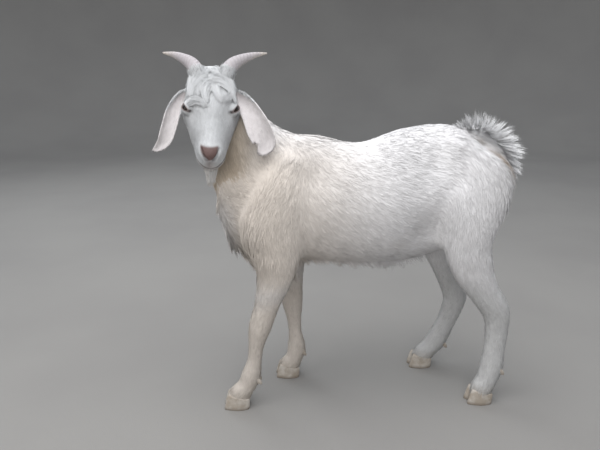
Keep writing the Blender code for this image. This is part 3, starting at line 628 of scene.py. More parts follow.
def ramped(values, low, high):
    """0 under low and 1 over high, smooth between; low may be the greater."""
    share = np.clip((values - low) / (high - low), 0.0, 1.0)
    return share * share * (3 - 2 * share)


def eased(obj, times, weight=EASE_SHARE):
    place_all(obj.data, averaged(obj.data, places(obj.data), times, weight))


def near(co, at, reach):
    """1 at a place, and less and less away from it."""
    return np.exp(-((co - np.array(at)) ** 2).sum(1) / reach**2)


def swell(obj, at, reach, height, towards=None):
    """Raises, or with a negative height sinks, a soft round rise in the surface."""
    co = places(obj.data)
    way = normals_of(obj.data) if towards is None else np.array(towards)[None]
    place_all(obj.data, co + way * height * near(co, at, reach)[:, None])


def sunk(obj, depth):
    place_all(obj.data, places(obj.data) - normals_of(obj.data) * np.reshape(depth, (-1, 1)))


def tree_of(mesh):
    faces = [face.vertices[:] for face in mesh.polygons]
    return BVHTree.FromPolygons([vert.co for vert in mesh.vertices], faces)


def line_distance(co, path):
    """The distance of each place from a line of points."""
    best = np.full(len(co), 1e9)
    for a, b in zip(path[:-1], path[1:]):
        a, b = np.array(a), np.array(b)
        along = np.clip((co - a) @ (b - a) / ((b - a) @ (b - a)), 0.0, 1.0)
        best = np.minimum(best, np.linalg.norm(co - a - along[:, None] * (b - a), axis=1))
    return best


def by_line(co, path, reach):
    """1 along a line of points, and less and less away from it."""
    return np.exp(-((line_distance(co, path) / reach) ** 2))


def groove(obj, path, reach, depth):
    """Sinks, or with a negative depth raises, the surface along a line."""
    co = places(obj.data)
    place_all(obj.data, co - normals_of(obj.data) * depth * by_line(co, path, reach)[:, None])


def head_path(rows, left=1):
    return [head_point(t, up, left * across) for t, up, across in rows]


def trunk_rows():
    return [(x, 0, (top + low) / 2, (top - low) / 2, half) for x, top, low, half in TRUNK]


def tail_rows():
    return [(x, 0, z, deep, wide) for x, z, deep, wide in TAIL]


def head_rows():
    rows = []
    for t, top, low, half in HEAD:
        rows.append((*head_point(t, (top + low) / 2), (top - low) / 2, half))
    return rows


def body_form():
    """Trunk, neck, legs and tail, with their muscles."""
    trunk = loft(trunk_rows(), SIDEWAYS, sides=72, box=0.92, pinch=(0.0, 0.16))
    tail = loft(tail_rows(), SIDEWAYS, sides=24)
    legs = [loft(rows, SIDEWAYS) for rows in LEGS.values()]
    body = joined([trunk, loft(NECK, SIDEWAYS, sides=56), tail] + legs)
    fused(body, BODY_VOXEL)
    eased(body, EASE_ALL)
    upper = np.clip((places(body.data)[:, 2] - UPPER_FROM) / UPPER_FADE, 0.0, 1.0)
    eased(body, EASE_UPPER, EASE_SHARE * upper)
    for side in (-1, 1):
        for (x, y, z), reach, height in BODY_SWELLS:
            swell(body, (x, side * y, z), reach, height)
    return body


def ear_mesh(left):
    """A cupped leaf that hangs from the side of the skull, open to the front."""
    root = head_point(EAR_ROOT[0], EAR_ROOT[1], left * EAR_ROOT[2])
    rows = smooth_rows(EAR_PATHS[left], 6)
    bm = bmesh.new()
    bmesh.ops.create_grid(bm, x_segments=len(rows) - 1, y_segments=EAR_ACROSS, size=1.0)
    points = [root + Vector((left * row[0], row[1], row[2])) for row in rows]
    for vert in bm.verts:
        k = round((vert.co.x + 1) / 2 * (len(rows) - 1))
        angle = vert.co.y * rows[k][4]
        ahead = (points[min(k + 1, len(rows) - 1)] - points[max(k - 1, 0)]).normalized()
        facing = Vector((-0.25 * left, -1.0, 0.0))
        facing = (facing - facing.dot(ahead) * ahead).normalized()
        across = ahead.cross(facing)
        radius = rows[k][3] / math.sin(min(rows[k][4], math.pi / 2))
        vert.co = points[k] + across * radius * math.sin(angle) + facing * radius * (1 - math.cos(angle))
    bmesh.ops.recalc_face_normals(bm, faces=bm.faces)
    bmesh.ops.solidify(bm, geom=list(bm.faces), thickness=EAR_THICK)
    outward(bm)
    return bm


def ball(at, radius, segments=32):
    bm = bmesh.new()
    size = {"u_segments": segments, "v_segments": segments // 2, "radius": radius}
    bmesh.ops.create_uvsphere(bm, matrix=Matrix.Translation(at), **size)
    return bm


def eye_axes(left):
    """The way an eye looks out, and the way that its opening runs."""
    out = (HEAD_LEFT * left * 0.74 + HEAD_UP * 0.62 + DOWN_FACE * 0.12).normalized()
    along = DOWN_FACE * 0.80 + HEAD_UP * 0.60
    return out, (along - out * along.dot(out)).normalized()


def lid_opening(left):
    """A cutter for the almond gap between the lids, its inner corner low and forward."""
    out, along = eye_axes(left)
    half_length, half_height = LID_OPENING
    size = (half_height, half_length)
    rows = [(*(eye_middle(left) + out * reach), *size) for reach in (0.003, 0.012, 0.024)]
    return loft(rows, along, sides=28, per_span=1, box=1.15)


def skull_form():
    skull = joined([loft(head_rows(), HEAD_LEFT, sides=72, box=0.90, pinch=(0.20, 0.24))])
    fused(skull, HEAD_VOXEL)
    eased(skull, EASE_SKULL)
    for left in (-1, 1):
        for (t, up, across), reach, height in SKULL_SWELLS:
            swell(skull, head_point(t, up, left * across), reach, height)
    groove(skull, head_path(PARTING), 0.007, 0.0045)
    at, reach, height = CHIN
    swell(skull, head_point(*at), reach, height, -HEAD_UP)
    return skull


def head_form():
    """The skull with ears, lids, mouth and nostrils."""
    skull = skull_form()
    sunk(skull, DEPTH_HEAD)
    pieces = [ear_mesh(-1), ear_mesh(1)]
    pieces += [ball(eye_middle(left), EYE_RADIUS + LID_THICK) for left in (-1, 1)]
    tools = [joined([bm]) for bm in pieces]
    combined(skull, "UNION", tools)
    fused(skull, HEAD_VOXEL)
    eased(skull, EASE_HEAD)
    co = places(skull.data)
    by_eye = [np.linalg.norm(co - np.array(eye_middle(left)), axis=1) for left in (-1, 1)]
    eased(skull, EASE_LIDS, EASE_SHARE * ramped(np.minimum(*by_eye), 0.030, 0.019))
    for left in (-1, 1):
        wing = [head_point(t, up + 0.002, left * (across + 0.0055)) for t, up, across in NOSTRIL[:3]]
        groove(skull, wing, 0.0045, -0.0016)
        groove(skull, head_path(NOSTRIL, left), 0.0027, 0.0070)
        groove(skull, head_path(MOUTH, left), 0.0024, 0.0036)
        lip = [head_point(t, up + 0.006, left * across) for t, up, across in MOUTH[1:]]
        groove(skull, lip, 0.0045, -0.0010)
        lower = [head_point(t - 0.004, up - 0.007, left * across) for t, up, across in MOUTH[2:]]
        groove(skull, lower, 0.0050, -0.0018)
        groove(skull, head_path(TEAR, left), 0.0026, 0.0018)
    groove(skull, head_path(PHILTRUM), 0.0016, 0.0016)
    sockets = [joined([ball(eye_middle(left), EYE_RADIUS + 0.0002)]) for left in (-1, 1)]
    combined(skull, "DIFFERENCE", sockets + [joined([lid_opening(left)]) for left in (-1, 1)])
    return skull


def skin_form():
    """Body and head as one closed skin, the join between them eased."""
    body, head = body_form(), head_form()
    height = places(body.data)[:, 2]
    upper = np.clip((height - DEPTH_FROM) / DEPTH_FADE, 0.0, 1.0)
    sunk(body, DEPTH_LEG + (DEPTH_BODY - DEPTH_LEG) * upper)
    body_tree, head_tree = tree_of(body.data), tree_of(head.data)
    combined(head, "UNION", [body])
    by_join = []
    for vert in head.data.vertices:
        far = [tree.find_nearest(vert.co, JOIN_REACH)[3] for tree in (body_tree, head_tree)]
        by_join.append(0.0 if None in far else max(0.0, 1.0 - sum(far) / JOIN_REACH))
    eased(head, JOIN_EASE, np.array(by_join))
    eased(head, NAPE_EASE, EASE_SHARE * near(places(head.data), NAPE, NAPE_REACH))
    return head


# The lines through the middle of each form, from which a place on the skin is told: which
# form it belongs to, how far along it lies and at what angle round it.
FORMS = ["trunk", "neck", "head", "ear_left", "ear_right", *LEGS, "tail"]
KINDS = ["trunk", "neck", "head", "ear", "ear", "leg", "leg", "leg", "leg", "tail"]
ALONG_REACH = 0.020


class FormLine:
    """A form's middle line, with the axes and half sizes of its sections."""

    def __init__(self, rows, side):
        rows = smooth_rows(rows, 4)
        self.at = rows[:, :3]
        ahead = np.gradient(self.at, axis=0)
        self.ahead = ahead / np.linalg.norm(ahead, axis=1)[:, None]
        across = np.array(side)[None] - self.ahead * (self.ahead @ np.array(side))[:, None]
        self.across = across / np.linalg.norm(across, axis=1)[:, None]
        self.up = np.cross(self.across, self.ahead)
        self.deep, self.wide = rows[:, 3], rows[:, 4]
        steps = np.linalg.norm(np.diff(self.at, axis=0), axis=1)
        self.length = np.concatenate([[0.0], np.cumsum(steps)])

    def seen_from(self, co):
        """For each place: how far out it lies in sections, its station and its angle."""
        best = np.full(len(co), 1e9)
        station = np.zeros(len(co), int)
        angle = np.zeros(len(co))
        for k in range(len(self.at)):
            gap = co - self.at[k]
            up, across, ahead = gap @ self.up[k], gap @ self.across[k], gap @ self.ahead[k]
            far = (up / self.deep[k]) ** 2 + (across / self.wide[k]) ** 2
            far = far + (ahead / ALONG_REACH) ** 2
            closer = far < best
            best[closer] = far[closer]
            station[closer] = k
            angle[closer] = np.arctan2(across, up)[closer]
        return best, station, angle


def ear_rows(left):
    root = head_point(EAR_ROOT[0], EAR_ROOT[1], left * EAR_ROOT[2])
    rows = []
    for out, y, z, half, _ in EAR_PATHS[left]:
        rows.append((*(root + Vector((left * out, y - 0.2 * half, z))), half * 0.5, half))
    return rows


FORM_LINES = {
    "trunk": FormLine(trunk_rows(), SIDEWAYS),
    "neck": FormLine(NECK, SIDEWAYS),
    "head": FormLine(head_rows(), HEAD_LEFT),
    "ear_left": FormLine(ear_rows(1), HEAD_LEFT),
    "ear_right": FormLine(ear_rows(-1), HEAD_LEFT),
    **{name: FormLine(rows, SIDEWAYS) for name, rows in LEGS.items()},
    "tail": FormLine(tail_rows(), SIDEWAYS),
}


def told(co):
    """Each place's form, its station and its angle there."""
    seen = [FORM_LINES[name].seen_from(co) for name in FORMS]
    form = np.argmin([far for far, _, _ in seen], axis=0)
    pick = np.arange(len(co))
    station = np.array([at for _, at, _ in seen])[form, pick]
    angle = np.array([turn for _, _, turn in seen])[form, pick]
    return form, station, angle


# The lie of the coat: for each kind of form its length and full width, how steeply it lifts,
# tufts a square metre, and how much it flows along the form, down, and out from it
LIE = {
    "trunk": (0.0240, 0.0015, 0.22, 94000, 0.90, 0.50, 0.0),
    "neck": (0.0260, 0.0014, 0.24, 112000, -0.85, 0.50, 0.0),
    "head": (0.0085, 0.0011, 0.34, 420000, 1.00, 0.00, 0.0),
    "ear": (0.0065, 0.0010, 0.26, 420000, 1.00, 0.00, 0.0),
    "leg": (0.0090, 0.0012, 0.32, 205000, 1.00, 0.00, 0.0),
    "tail": (0.0300, 0.0016, 0.45, 160000, 0.65, 0.00, 0.55),
}
# What the upper legs and the zones of the coat add: length, width, lift, tufts a square metre
ZONE_ADDS = {
    "upper_leg": (0.0155, 0.0004, -0.04, -118000),
    "brisket": (0.016, 0.0, 0.10, 0),
    "belly": (0.004, 0.0, 0.16, 0),
    "thigh": (0.012, 0.0, 0.05, 0),
    "fetlock": (0.008, 0.0, 0.10, 0),
    "coronet": (0.006, 0.0, 0.06, 0),
    "crown": (0.0075, 0.0005, 0.0, -152000),
    "cheek": (0.0060, 0.0003, 0.0, -120000),
    "muzzle": (-0.0034, -0.0002, 0.0, 0),
    "nape": (0.0110, 0.0004, 0.0, -150000),
    "poll": (0.0, 0.0, -0.24, 0),
}
CHEEK_SPREAD = 0.75
CROWN_SPREAD = 0.45
NAPE_FLOW = (0.18, 0.90, -1.80)
LIE_EASE = 26


def is_kind(form, kind):
    return np.isin(form, [k for k, name in enumerate(KINDS) if name == kind])


def on_head(co):
    """How far down the face, out of the forehead and to the left each place lies."""
    from_poll = co - np.array(POLL)
    return [from_poll @ np.array(way) for way in (DOWN_FACE, HEAD_UP, HEAD_LEFT)]


def coat_zones(co, normals, form):
    """How far each place lies in the zones where the coat is longer, shorter or flatter."""
    x, _, z = co.T
    t, up, _ = on_head(co)
    head, leg = is_kind(form, "head"), is_kind(form, "leg")
    under = ramped(normals[:, 2], -0.35, -0.75)
    nape = ramped(t, 0.030, 0.000) * ramped(up, -0.010, -0.045) * head
    return {
        "upper_leg": ramped(z, 0.22, 0.44) * leg,
        "brisket": ramped(x, -0.20, -0.29) * ramped(z, 0.52, 0.44) * (z > 0.28),
        "belly": under * (z > 0.30) * (z < 0.42) * (abs(x) < 0.24),
        "thigh": ramped(x, 0.27, 0.33) * ramped(z, 0.36, 0.42) * ramped(normals[:, 0], 0.1, 0.6),
        "fetlock": leg * ramped(z, 0.125, 0.10) * ramped(z, 0.035, 0.06) * ramped(normals[:, 0], 0.2, 0.7),
        "coronet": leg * ramped(z, 0.056, 0.046),
        "crown": ramped(t, 0.062, 0.020) * ramped(up, -0.05, -0.02) * head,
        "cheek": ramped(up, -0.035, -0.075) * ramped(t, 0.165, 0.12) * head,
        "muzzle": ramped(t, 0.150, 0.175) * head,
        "nape": nape,
        "poll": np.maximum(nape, ramped(t, 0.020, 0.004) * head),
    }


def lie_of(mesh):
    """The coat's flow, length, width, lift and density at each vertex of the skin."""
    co, normals = places(mesh), normals_of(mesh)
    form, station, angle = told(co)
    table = np.array([LIE[kind] for kind in KINDS])[form]
    along, down, out = table[:, 4:5], table[:, 5:6], table[:, 6:7]
    ahead = np.array([FORM_LINES[FORMS[i]].ahead[k] for i, k in zip(form, station)])
    flow = ahead * along + np.array((0.0, 0.0, -1.0)) * down + normals * out
    t, _, across = on_head(co)
    looks, zones = table[:, :4].copy(), coat_zones(co, normals, form)
    for name, adds in ZONE_ADDS.items():
        looks += zones[name][:, None] * np.array(adds)
    flow = flow - np.array(HEAD_UP) * (CHEEK_SPREAD * zones["cheek"])[:, None]
    behind_poll = ramped(t, 0.004, -0.012) * is_kind(form, "head")
    flow = flow + np.array(NAPE_FLOW) * behind_poll[:, None]
    flow = flow + np.array(HEAD_LEFT) * (np.sign(across) * CROWN_SPREAD * zones["crown"])[:, None]
    fields = averaged(mesh, np.column_stack([flow, looks]), LIE_EASE)
    flow = fields[:, :3]
    flow = flow - normals * (flow * normals).sum(1)[:, None]
    fields[:, :3] = flow / np.maximum(1e-6, np.linalg.norm(flow, axis=1))[:, None]
    return fields, form, station, angle


def lid_rim(co, left):
    """1 on the bare edge of the lids and 0 past it."""
    out, along = eye_axes(left)
    from_eye = co - np.array(eye_middle(left))
    a = from_eye @ np.array(along) / LID_OPENING[0]
    b = from_eye @ np.array(out.cross(along)) / LID_OPENING[1]
    inside = ramped(np.sqrt(a * a + b * b), 1.38, 1.12)
    return inside * ramped(from_eye @ np.array(out), 0.0, 0.004) * (np.linalg.norm(from_eye, axis=1) < 0.022)


# The markings, the same on skin and coat: cream on neck, shoulder and chest, deepened as painted
# shade on the left side of the neck and along the jaw; a cool white on head and tail, with a
# painted sky-blue tint on the tail, and cool grey painted shade on the low hind legs; dust with
# painted shade on the low legs; dirt on knees and feet; the head's painted shadow on the throat;
# a tan stain and a painted shadow line beside the tail; and bare skin on nose, lips, eye rims and
# inside the ears.
CREAM_TRUNK = 0.62
# Cream on the neck and along the jaw, deepened as painted shade, the neck's on its left side below the head
CREAM_AND_SHADE_NECK = 1.25
CREAM_NAPE = 0.35
CREAM_AND_SHADE_JAW = 0.30
# Cream on the low front legs, dust and painted shade
CREAM_DUST_SHADE_LOW_LEG = 0.55
COOL_HEAD = 0.90
# A painted sky-blue tint on the tail
COOL_SKY_TINT_TAIL = 0.45
# Cool grey on the low hind legs, painted shade
COOL_SHADE_LOW_LEG = 0.95
DIRT_FOOT = 0.50
# Dust with painted shade on the low legs
DUST_AND_SHADE_LOW_LEG = 0.22
# The head's painted shadow on the left side of the neck
HEAD_SHADOW_ON_NECK = 0.80
PINK_INSIDE = 0.34
PINK_EAR = 0.10
# Dirt on both sides: place, reach, how strong
DIRT = [
    ((-0.272, 0.071, 0.205), 0.024, 0.50),
    ((-0.190, 0.070, 0.205), 0.022, 0.35),
    ((0.060, 0.100, 0.405), 0.018, 0.20),
    ((0.320, 0.086, 0.230), 0.020, 0.30),
    ((-0.300, 0.067, 0.040), 0.035, 0.35),
]
STAIN = [(0.290, 0.045, 0.622), (0.302, 0.050, 0.595), (0.314, 0.052, 0.562)]
STAIN_REACH = 0.015
# A painted shadow line where the tail's base meets the rump: its path, reach and how dark
TAIL_SHADOW_LINE = [(0.246, 0.030, 0.640), (0.288, 0.028, 0.630)]
TAIL_SHADOW_REACH = 0.007
TAIL_SHADOW_DARK = 0.85
NOSE_TOP = (0.1760, -0.0155)
NOSE_DOWN = (0.62, -0.78)
NOSE_HALF = 0.0185
NOSE_DEEP = 0.0300
NOSE_ROUND = 2.8
NOSE_TURN = 0.0020
# Dark lines of the face, painted shade in the nostrils and the crease of the mouth, and darker
# along the groove below the eye: path, reach, how dark
FACE_LINES = [(NOSTRIL, 0.0036, 1.0), (MOUTH, 0.0027, 1.0), (TEAR, 0.0038, 0.90)]
LIP_REACH = 0.0050
CLEFT_LIP = [(0.1975, -0.040, -NOSE_TURN), (0.1985, -0.064, -NOSE_TURN)]
CLEFT_LIP_REACH = 0.0095
MAUVE_LIP = 0.50
MAUVE_RIM = 0.80

# Colours of hair and skin
WHITE = (0.85, 0.84, 0.85, 1.0)
CREAM = (0.69, 0.585, 0.47, 1.0)
COOL = (0.66, 0.675, 0.69, 1.0)
# Dirt, and painted shade on the neck, the low legs and beside the tail
DIRT_AND_SHADE_TONE = (0.40, 0.35, 0.29, 1.0)
TAN = (0.38, 0.285, 0.205, 1.0)
PINK = (0.80, 0.70, 0.69, 1.0)
MAUVE = (0.165, 0.102, 0.094, 1.0)
DARK = (0.030, 0.020, 0.019, 1.0)


def on_sides(path):
    """A line of places beside the body, on the right and on the left."""
    return [[(x, side * y, z) for x, y, z in path] for side in (-1, 1)]


def hair_of(co, form):
    """Cream, cool white, dirt and tan at each place, from 0 to 1; cream, cool and dirt also carry painted
    shade, and cool a painted sky tint on the tail.
    """
    x, y, z = co.T
    _, up, _ = on_head(co)
    head, leg = is_kind(form, "head"), is_kind(form, "leg")
    cream = CREAM_TRUNK * ramped(x, 0.08, -0.24) * ramped(z, 0.70, 0.58) * ramped(z, 0.24, 0.36)
    cream = cream * ~is_kind(form, "ear") * ~head
    neck = ramped(x, -0.20, -0.33) * ramped(z, 0.80, 0.66) * ramped(z, 0.36, 0.50)
    neck = neck * is_kind(form, "neck")
    # front is 1 on the neck's left side, where its cream is deepened and the head's shadow is painted
    front = ramped(y, 0.035, -0.025)
    cream = np.maximum(cream, CREAM_AND_SHADE_NECK * neck * (CREAM_NAPE + (1 - CREAM_NAPE) * front))
    cream = cream * (1 - 0.6 * ramped(x, -0.29, -0.33) * ramped(z, 0.54, 0.46))
    # Cream with painted shade low on the head, along the jaw
    cream = np.maximum(cream, CREAM_AND_SHADE_JAW * head * ramped(up, -0.045, -0.09))
    # Low on the legs, dust and painted shade: cream in front, cool grey behind
    low_leg = ramped(z, 0.36, 0.24) * leg
    cream = np.maximum(cream, CREAM_DUST_SHADE_LOW_LEG * low_leg * (x < 0))
    # Cool white on the head, and on the tail a painted sky-blue tint
    cool = np.maximum(COOL_HEAD * head, COOL_SKY_TINT_TAIL * is_kind(form, "tail"))
    cool = np.maximum(cool, COOL_SHADE_LOW_LEG * low_leg * (x > 0))
    dirt_and_shade = np.maximum(DIRT_FOOT * leg * ramped(z, 0.075, 0.035), DUST_AND_SHADE_LOW_LEG * low_leg)
    # The head's painted shadow on the left side of the neck, high up under the head
    dirt_and_shade = np.maximum(dirt_and_shade, HEAD_SHADOW_ON_NECK * neck * ramped(z, 0.52, 0.66) * front)
    for place, reach, amount in DIRT:
        for at in on_sides([place]):
            dirt_and_shade = np.maximum(dirt_and_shade, amount * near(co, at[0], reach))
    # The painted shadow line where the tail meets the rump
    for path in on_sides(TAIL_SHADOW_LINE):
        dirt_and_shade = np.maximum(dirt_and_shade, TAIL_SHADOW_DARK * by_line(co, path, TAIL_SHADOW_REACH))
    tan = np.maximum(*[by_line(co, path, STAIN_REACH) for path in on_sides(STAIN)])
    return np.column_stack([cream, cool, dirt_and_shade, tan])


def bare_of(co, normals, form):
    """Pink, mauve, dark and bare of hair at each place, from 0 to 1."""
    t, up, across = on_head(co)
    head, ear = is_kind(form, "head"), is_kind(form, "ear")
    inside = ear * ramped(-normals[:, 1], 0.1, 0.6)
    pink = np.maximum(PINK_INSIDE * inside, PINK_EAR * ear)
    rim = np.maximum(*[lid_rim(co, left) for left in (-1, 1)])
    below = np.column_stack([t - NOSE_TOP[0], up - NOSE_TOP[1]]) @ np.array(NOSE_DOWN)
    half = NOSE_HALF * (1.0 - np.clip(below / NOSE_DEEP, 0.0, 1.0) ** NOSE_ROUND)
    nose = ramped(abs(across + NOSE_TURN), half + 0.0020, half - 0.0030)
    nose = nose * ramped(below, -0.0025, 0.0030) * ramped(below, NOSE_DEEP, NOSE_DEEP - 0.004)
    nose = np.maximum(nose * (t > 0.160) * head, MAUVE_RIM * rim)
    lip = [head_point(a - 0.003, b - 0.0055, c * side) for side in (-1, 1) for a, b, c in MOUTH[2:]]
    nose = np.maximum(nose, MAUVE_LIP * by_line(co, lip, LIP_REACH))
    nose = np.maximum(nose, MAUVE_LIP * by_line(co, head_path(CLEFT_LIP), CLEFT_LIP_REACH))
    dark = np.zeros(len(co))
    for left in (-1, 1):
        for path, reach, amount in FACE_LINES:
            dark = np.maximum(dark, amount * by_line(co, head_path(path, left), reach))
    return np.column_stack([pink, nose, dark, np.maximum(np.maximum(nose, rim), dark * head)])


def marks(start, name):
    """The red, green, blue and alpha of one attribute of markings."""
    colour = start.node("ShaderNodeAttribute", {"attribute_name": name})
    split = start.node("ShaderNodeSeparateColor", None, {0: colour})
    return [split.output(k) for k in range(3)] + [colour.output("Alpha")]


def hide_colour(start, shade):
    """The colour of hair or skin from its markings, a little lighter or darker by shade."""
    # The third mark is dirt, and painted shade on the neck, the low legs and beside the tail
    cream, cool, dirt_and_shade, tan = marks(start, "hair_marks")
    pink, nose, dark, _ = marks(start, "bare_marks")
    colour = start.mixed(cool, WHITE, COOL)
    for share, tint in (
        (cream, CREAM), (dirt_and_shade, DIRT_AND_SHADE_TONE), (tan, TAN), (pink, PINK), (nose, MAUVE), (dark, DARK),
    ):
        colour = start.mixed(share, colour, tint)
    settings = {"data_type": "RGBA", "blend_type": "MULTIPLY"}
    return start.node("ShaderNodeMix", settings, {0: 1.0, 6: colour, 7: shade}, output=2)


def give_attribute(mesh, name, kind, values):
    made = mesh.attributes.new(name, kind, "POINT")
    field = "color" if kind == "FLOAT_COLOR" else "value"
    made.data.foreach_set(field, values.astype(np.float32).ravel())


def finished(obj, name, finish):
    """Moves the mesh to where the solids stand, names it, and lets it ride."""
    obj.name = name
    obj.data.name = name
    obj.data.transform(Matrix.Translation(SHIFT))
    obj.data.materials.clear()
    obj.data.materials.append(finish)
    obj.data.polygons.foreach_set("use_smooth", [True] * len(obj.data.polygons))
    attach(obj, "root")
    return obj


# The skin's own look: hair so short that it is only grain and shade, and smooth moist
# leather on the nose and lips.
skin_finish, start, ends = material("skin_finish", 0.7)
place = start.node("ShaderNodeTexCoord", output="Object")
bare = start.node("ShaderNodeAttribute", {"attribute_name": "bare_marks"}, output="Alpha")
streaks = noise_on(start, place, 420.0, 4.0, (0.35, 1.0, 0.35))
clouds = noise_on(start, place, 30.0)
pebbles = start.node("ShaderNodeTexVoronoi", None, {"Vector": place, "Scale": 900.0})
shade = (streaks - 0.5) * 0.22 + (clouds - 0.5) * 0.16 + 0.98
height = streaks * (1 - bare) + pebbles * bare * 0.7
ends(
    Base_Color=hide_colour(start, shade),
    Roughness=0.78 - bare * 0.30,
    Normal=bumped(start, height, 0.0009, 0.6),
)

skin = skin_form()
fields, form, station, angle = lie_of(skin.data)
hair_marks = hair_of(places(skin.data), form)
bare_marks = bare_of(places(skin.data), normals_of(skin.data), form)
give_attribute(skin.data, "hair_marks", "FLOAT_COLOR", hair_marks)
give_attribute(skin.data, "bare_marks", "FLOAT_COLOR", bare_marks)
FLESH = ["head", "neck", "torso", "tail", "ear_left", "ear_right"]
FLESH += [part + name for name in LEGS for part in ("leg_", "shank_")]


# The coat: tapered tufts of hair, each rooted in the skin, lying along the flow of the coat
# and drawn a little towards the middle of its clump.
TUFT_SEED = 11
SINK = 0.05
LIFT_EASE = 0.45
WAVES = 5.0
WAY_NOISE = 0.13
DROOP = 0.06
WAVE = 0.045
ROLL = 0.35
CLUMP_SHARE = 0.07
CLUMP_PULL = 0.42
CLUMP_FAR = 0.45
CLUMP_TONE = 0.10
TUFT_TONE = 0.16
THICK = 0.40
# By bare skin the hair is this much shorter
TRIM = 0.72
TRIM_STEEP = 3.5
TRIM_EASE = 12
SIDE_LEAN = 0.50
TOP_NOISE = 0.10
TRIANGLE_LIMIT = 190000
PATCH = 0.003
# Rings of a tuft, each a share of its length and a share of its width
LONG_RINGS = [(0.0, 0.80), (0.50, 0.85)]
SHORT_RINGS = [(0.0, 1.0)]
SHORT_HAIR = 0.0085
rng = np.random.default_rng(TUFT_SEED)


def triangles_of(mesh):
    mesh.calc_loop_triangles()
    tris = np.zeros(len(mesh.loop_triangles) * 3, int)
    mesh.loop_triangles.foreach_get("vertices", tris)
    return tris.reshape(-1, 3)


def rooted(mesh, density):
    """Roots spread over the mesh by density: three vertices and their shares for each."""
    co, tris = places(mesh), triangles_of(mesh)
    first, second, third = (co[tris[:, k]] for k in range(3))
    area = np.linalg.norm(np.cross(second - first, third - first), axis=1) / 2
    weight = area * density[tris].mean(1)
    total = np.cumsum(weight)
    count = int(total[-1])
    picks = (np.arange(count) + rng.random(count)) / count * total[-1]
    chosen = np.minimum(np.searchsorted(total, picks), len(tris) - 1)
    a, b = rng.random(count), rng.random(count)
    over = a + b > 1
    a[over], b[over] = 1 - a[over], 1 - b[over]
    return tris[chosen], np.column_stack([1 - a - b, a, b])


def blended(values, corners, shares):
    return (values[corners] * shares[:, :, None]).sum(1)


def unit(rows):
    return rows / np.maximum(1e-9, np.linalg.norm(rows, axis=1))[:, None]


class Tufts:
    """Rows of tufts: root, normal, way, length, width, lift, droop, wave, shade, markings."""

    def __init__(self, **columns):
        self.columns = columns

    def __getattr__(self, name):
        return self.__dict__["columns"][name]

    def take(self, keep):
        return Tufts(**{name: column[keep] for name, column in self.columns.items()})

    def at(self, share):
        """The places of all tufts at a share of their length."""
        side = np.cross(self.normal, self.way)
        rise = self.lift * share - LIFT_EASE * self.lift * share**2
        swing = self.wave * np.sin(self.phase + WAVES * share) * share
        reach = self.way * share + self.normal * rise[:, None] + side * swing[:, None]
        reach = reach - np.array((0.0, 0.0, 1.0)) * (self.droop * share**2)[:, None]
        out = self.root + (reach - self.normal * SINK) * self.length[:, None]
        return out + self.pull * share**2


def clumped(tufts, share=CLUMP_SHARE, pull=CLUMP_PULL):
    """Draws the tips of neighbours together and gives each clump a shade of its own."""
    count = len(tufts.root)
    middles = rng.choice(count, max(1, int(count * share)), replace=False)
    tree = KDTree(len(middles))
    for k, index in enumerate(middles):
        tree.insert(tufts.root[index], k)
    tree.balance()
    tips = tufts.at(1.0)
    nearest = np.array([tree.find(root)[1] for root in tufts.root])
    gap = tips[middles][nearest] - tips
    far = np.linalg.norm(gap, axis=1)
    gap = gap * np.minimum(1.0, CLUMP_FAR * tufts.length / np.maximum(far, 1e-6))[:, None]
    tufts.columns["pull"] = gap * (pull * rng.uniform(0.5, 1.4, count))[:, None]
    tone = rng.normal(0.0, 1.0, len(middles))[nearest]
    tufts.columns["shade"] = 0.5 + CLUMP_TONE * tone + TUFT_TONE * rng.normal(0.0, 1.0, count)
    return tufts


def tuft_places(tufts, rings):
    """The corners of every tuft, ring by ring and then the point, and the way across each."""
    side = np.cross(tufts.normal, tufts.way)
    turn = tufts.roll[:, None]
    thick = tufts.normal * np.cos(turn) - side * np.sin(turn)
    side = side * np.cos(turn) + tufts.normal * np.sin(turn)
    co = np.zeros((len(tufts.root), len(rings) * 3 + 1, 3))
    for k, (share, wide) in enumerate(rings):
        middle = tufts.at(share)
        half = (tufts.width * wide / 2)[:, None]
        co[:, 3 * k] = middle - side * half
        co[:, 3 * k + 1] = middle + side * half
        co[:, 3 * k + 2] = middle + thick * half * THICK
    co[:, -1] = tufts.at(1.0)
    return co, side


def tuft_faces(rows):
    """The triangles of one tuft: its foot, its three sides and its point."""
    faces = [(0, 2, 1)]
    edges = ((0, 1), (1, 2), (2, 0))
    for k in range(0, 3 * rows - 3, 3):
        for a, b in edges:
            faces += [(k + a, k + b, k + b + 3), (k + a, k + b + 3, k + a + 3)]
    last = 3 * rows - 3
    return np.array(faces + [(last + a, last + b, last + 3) for a, b in edges])


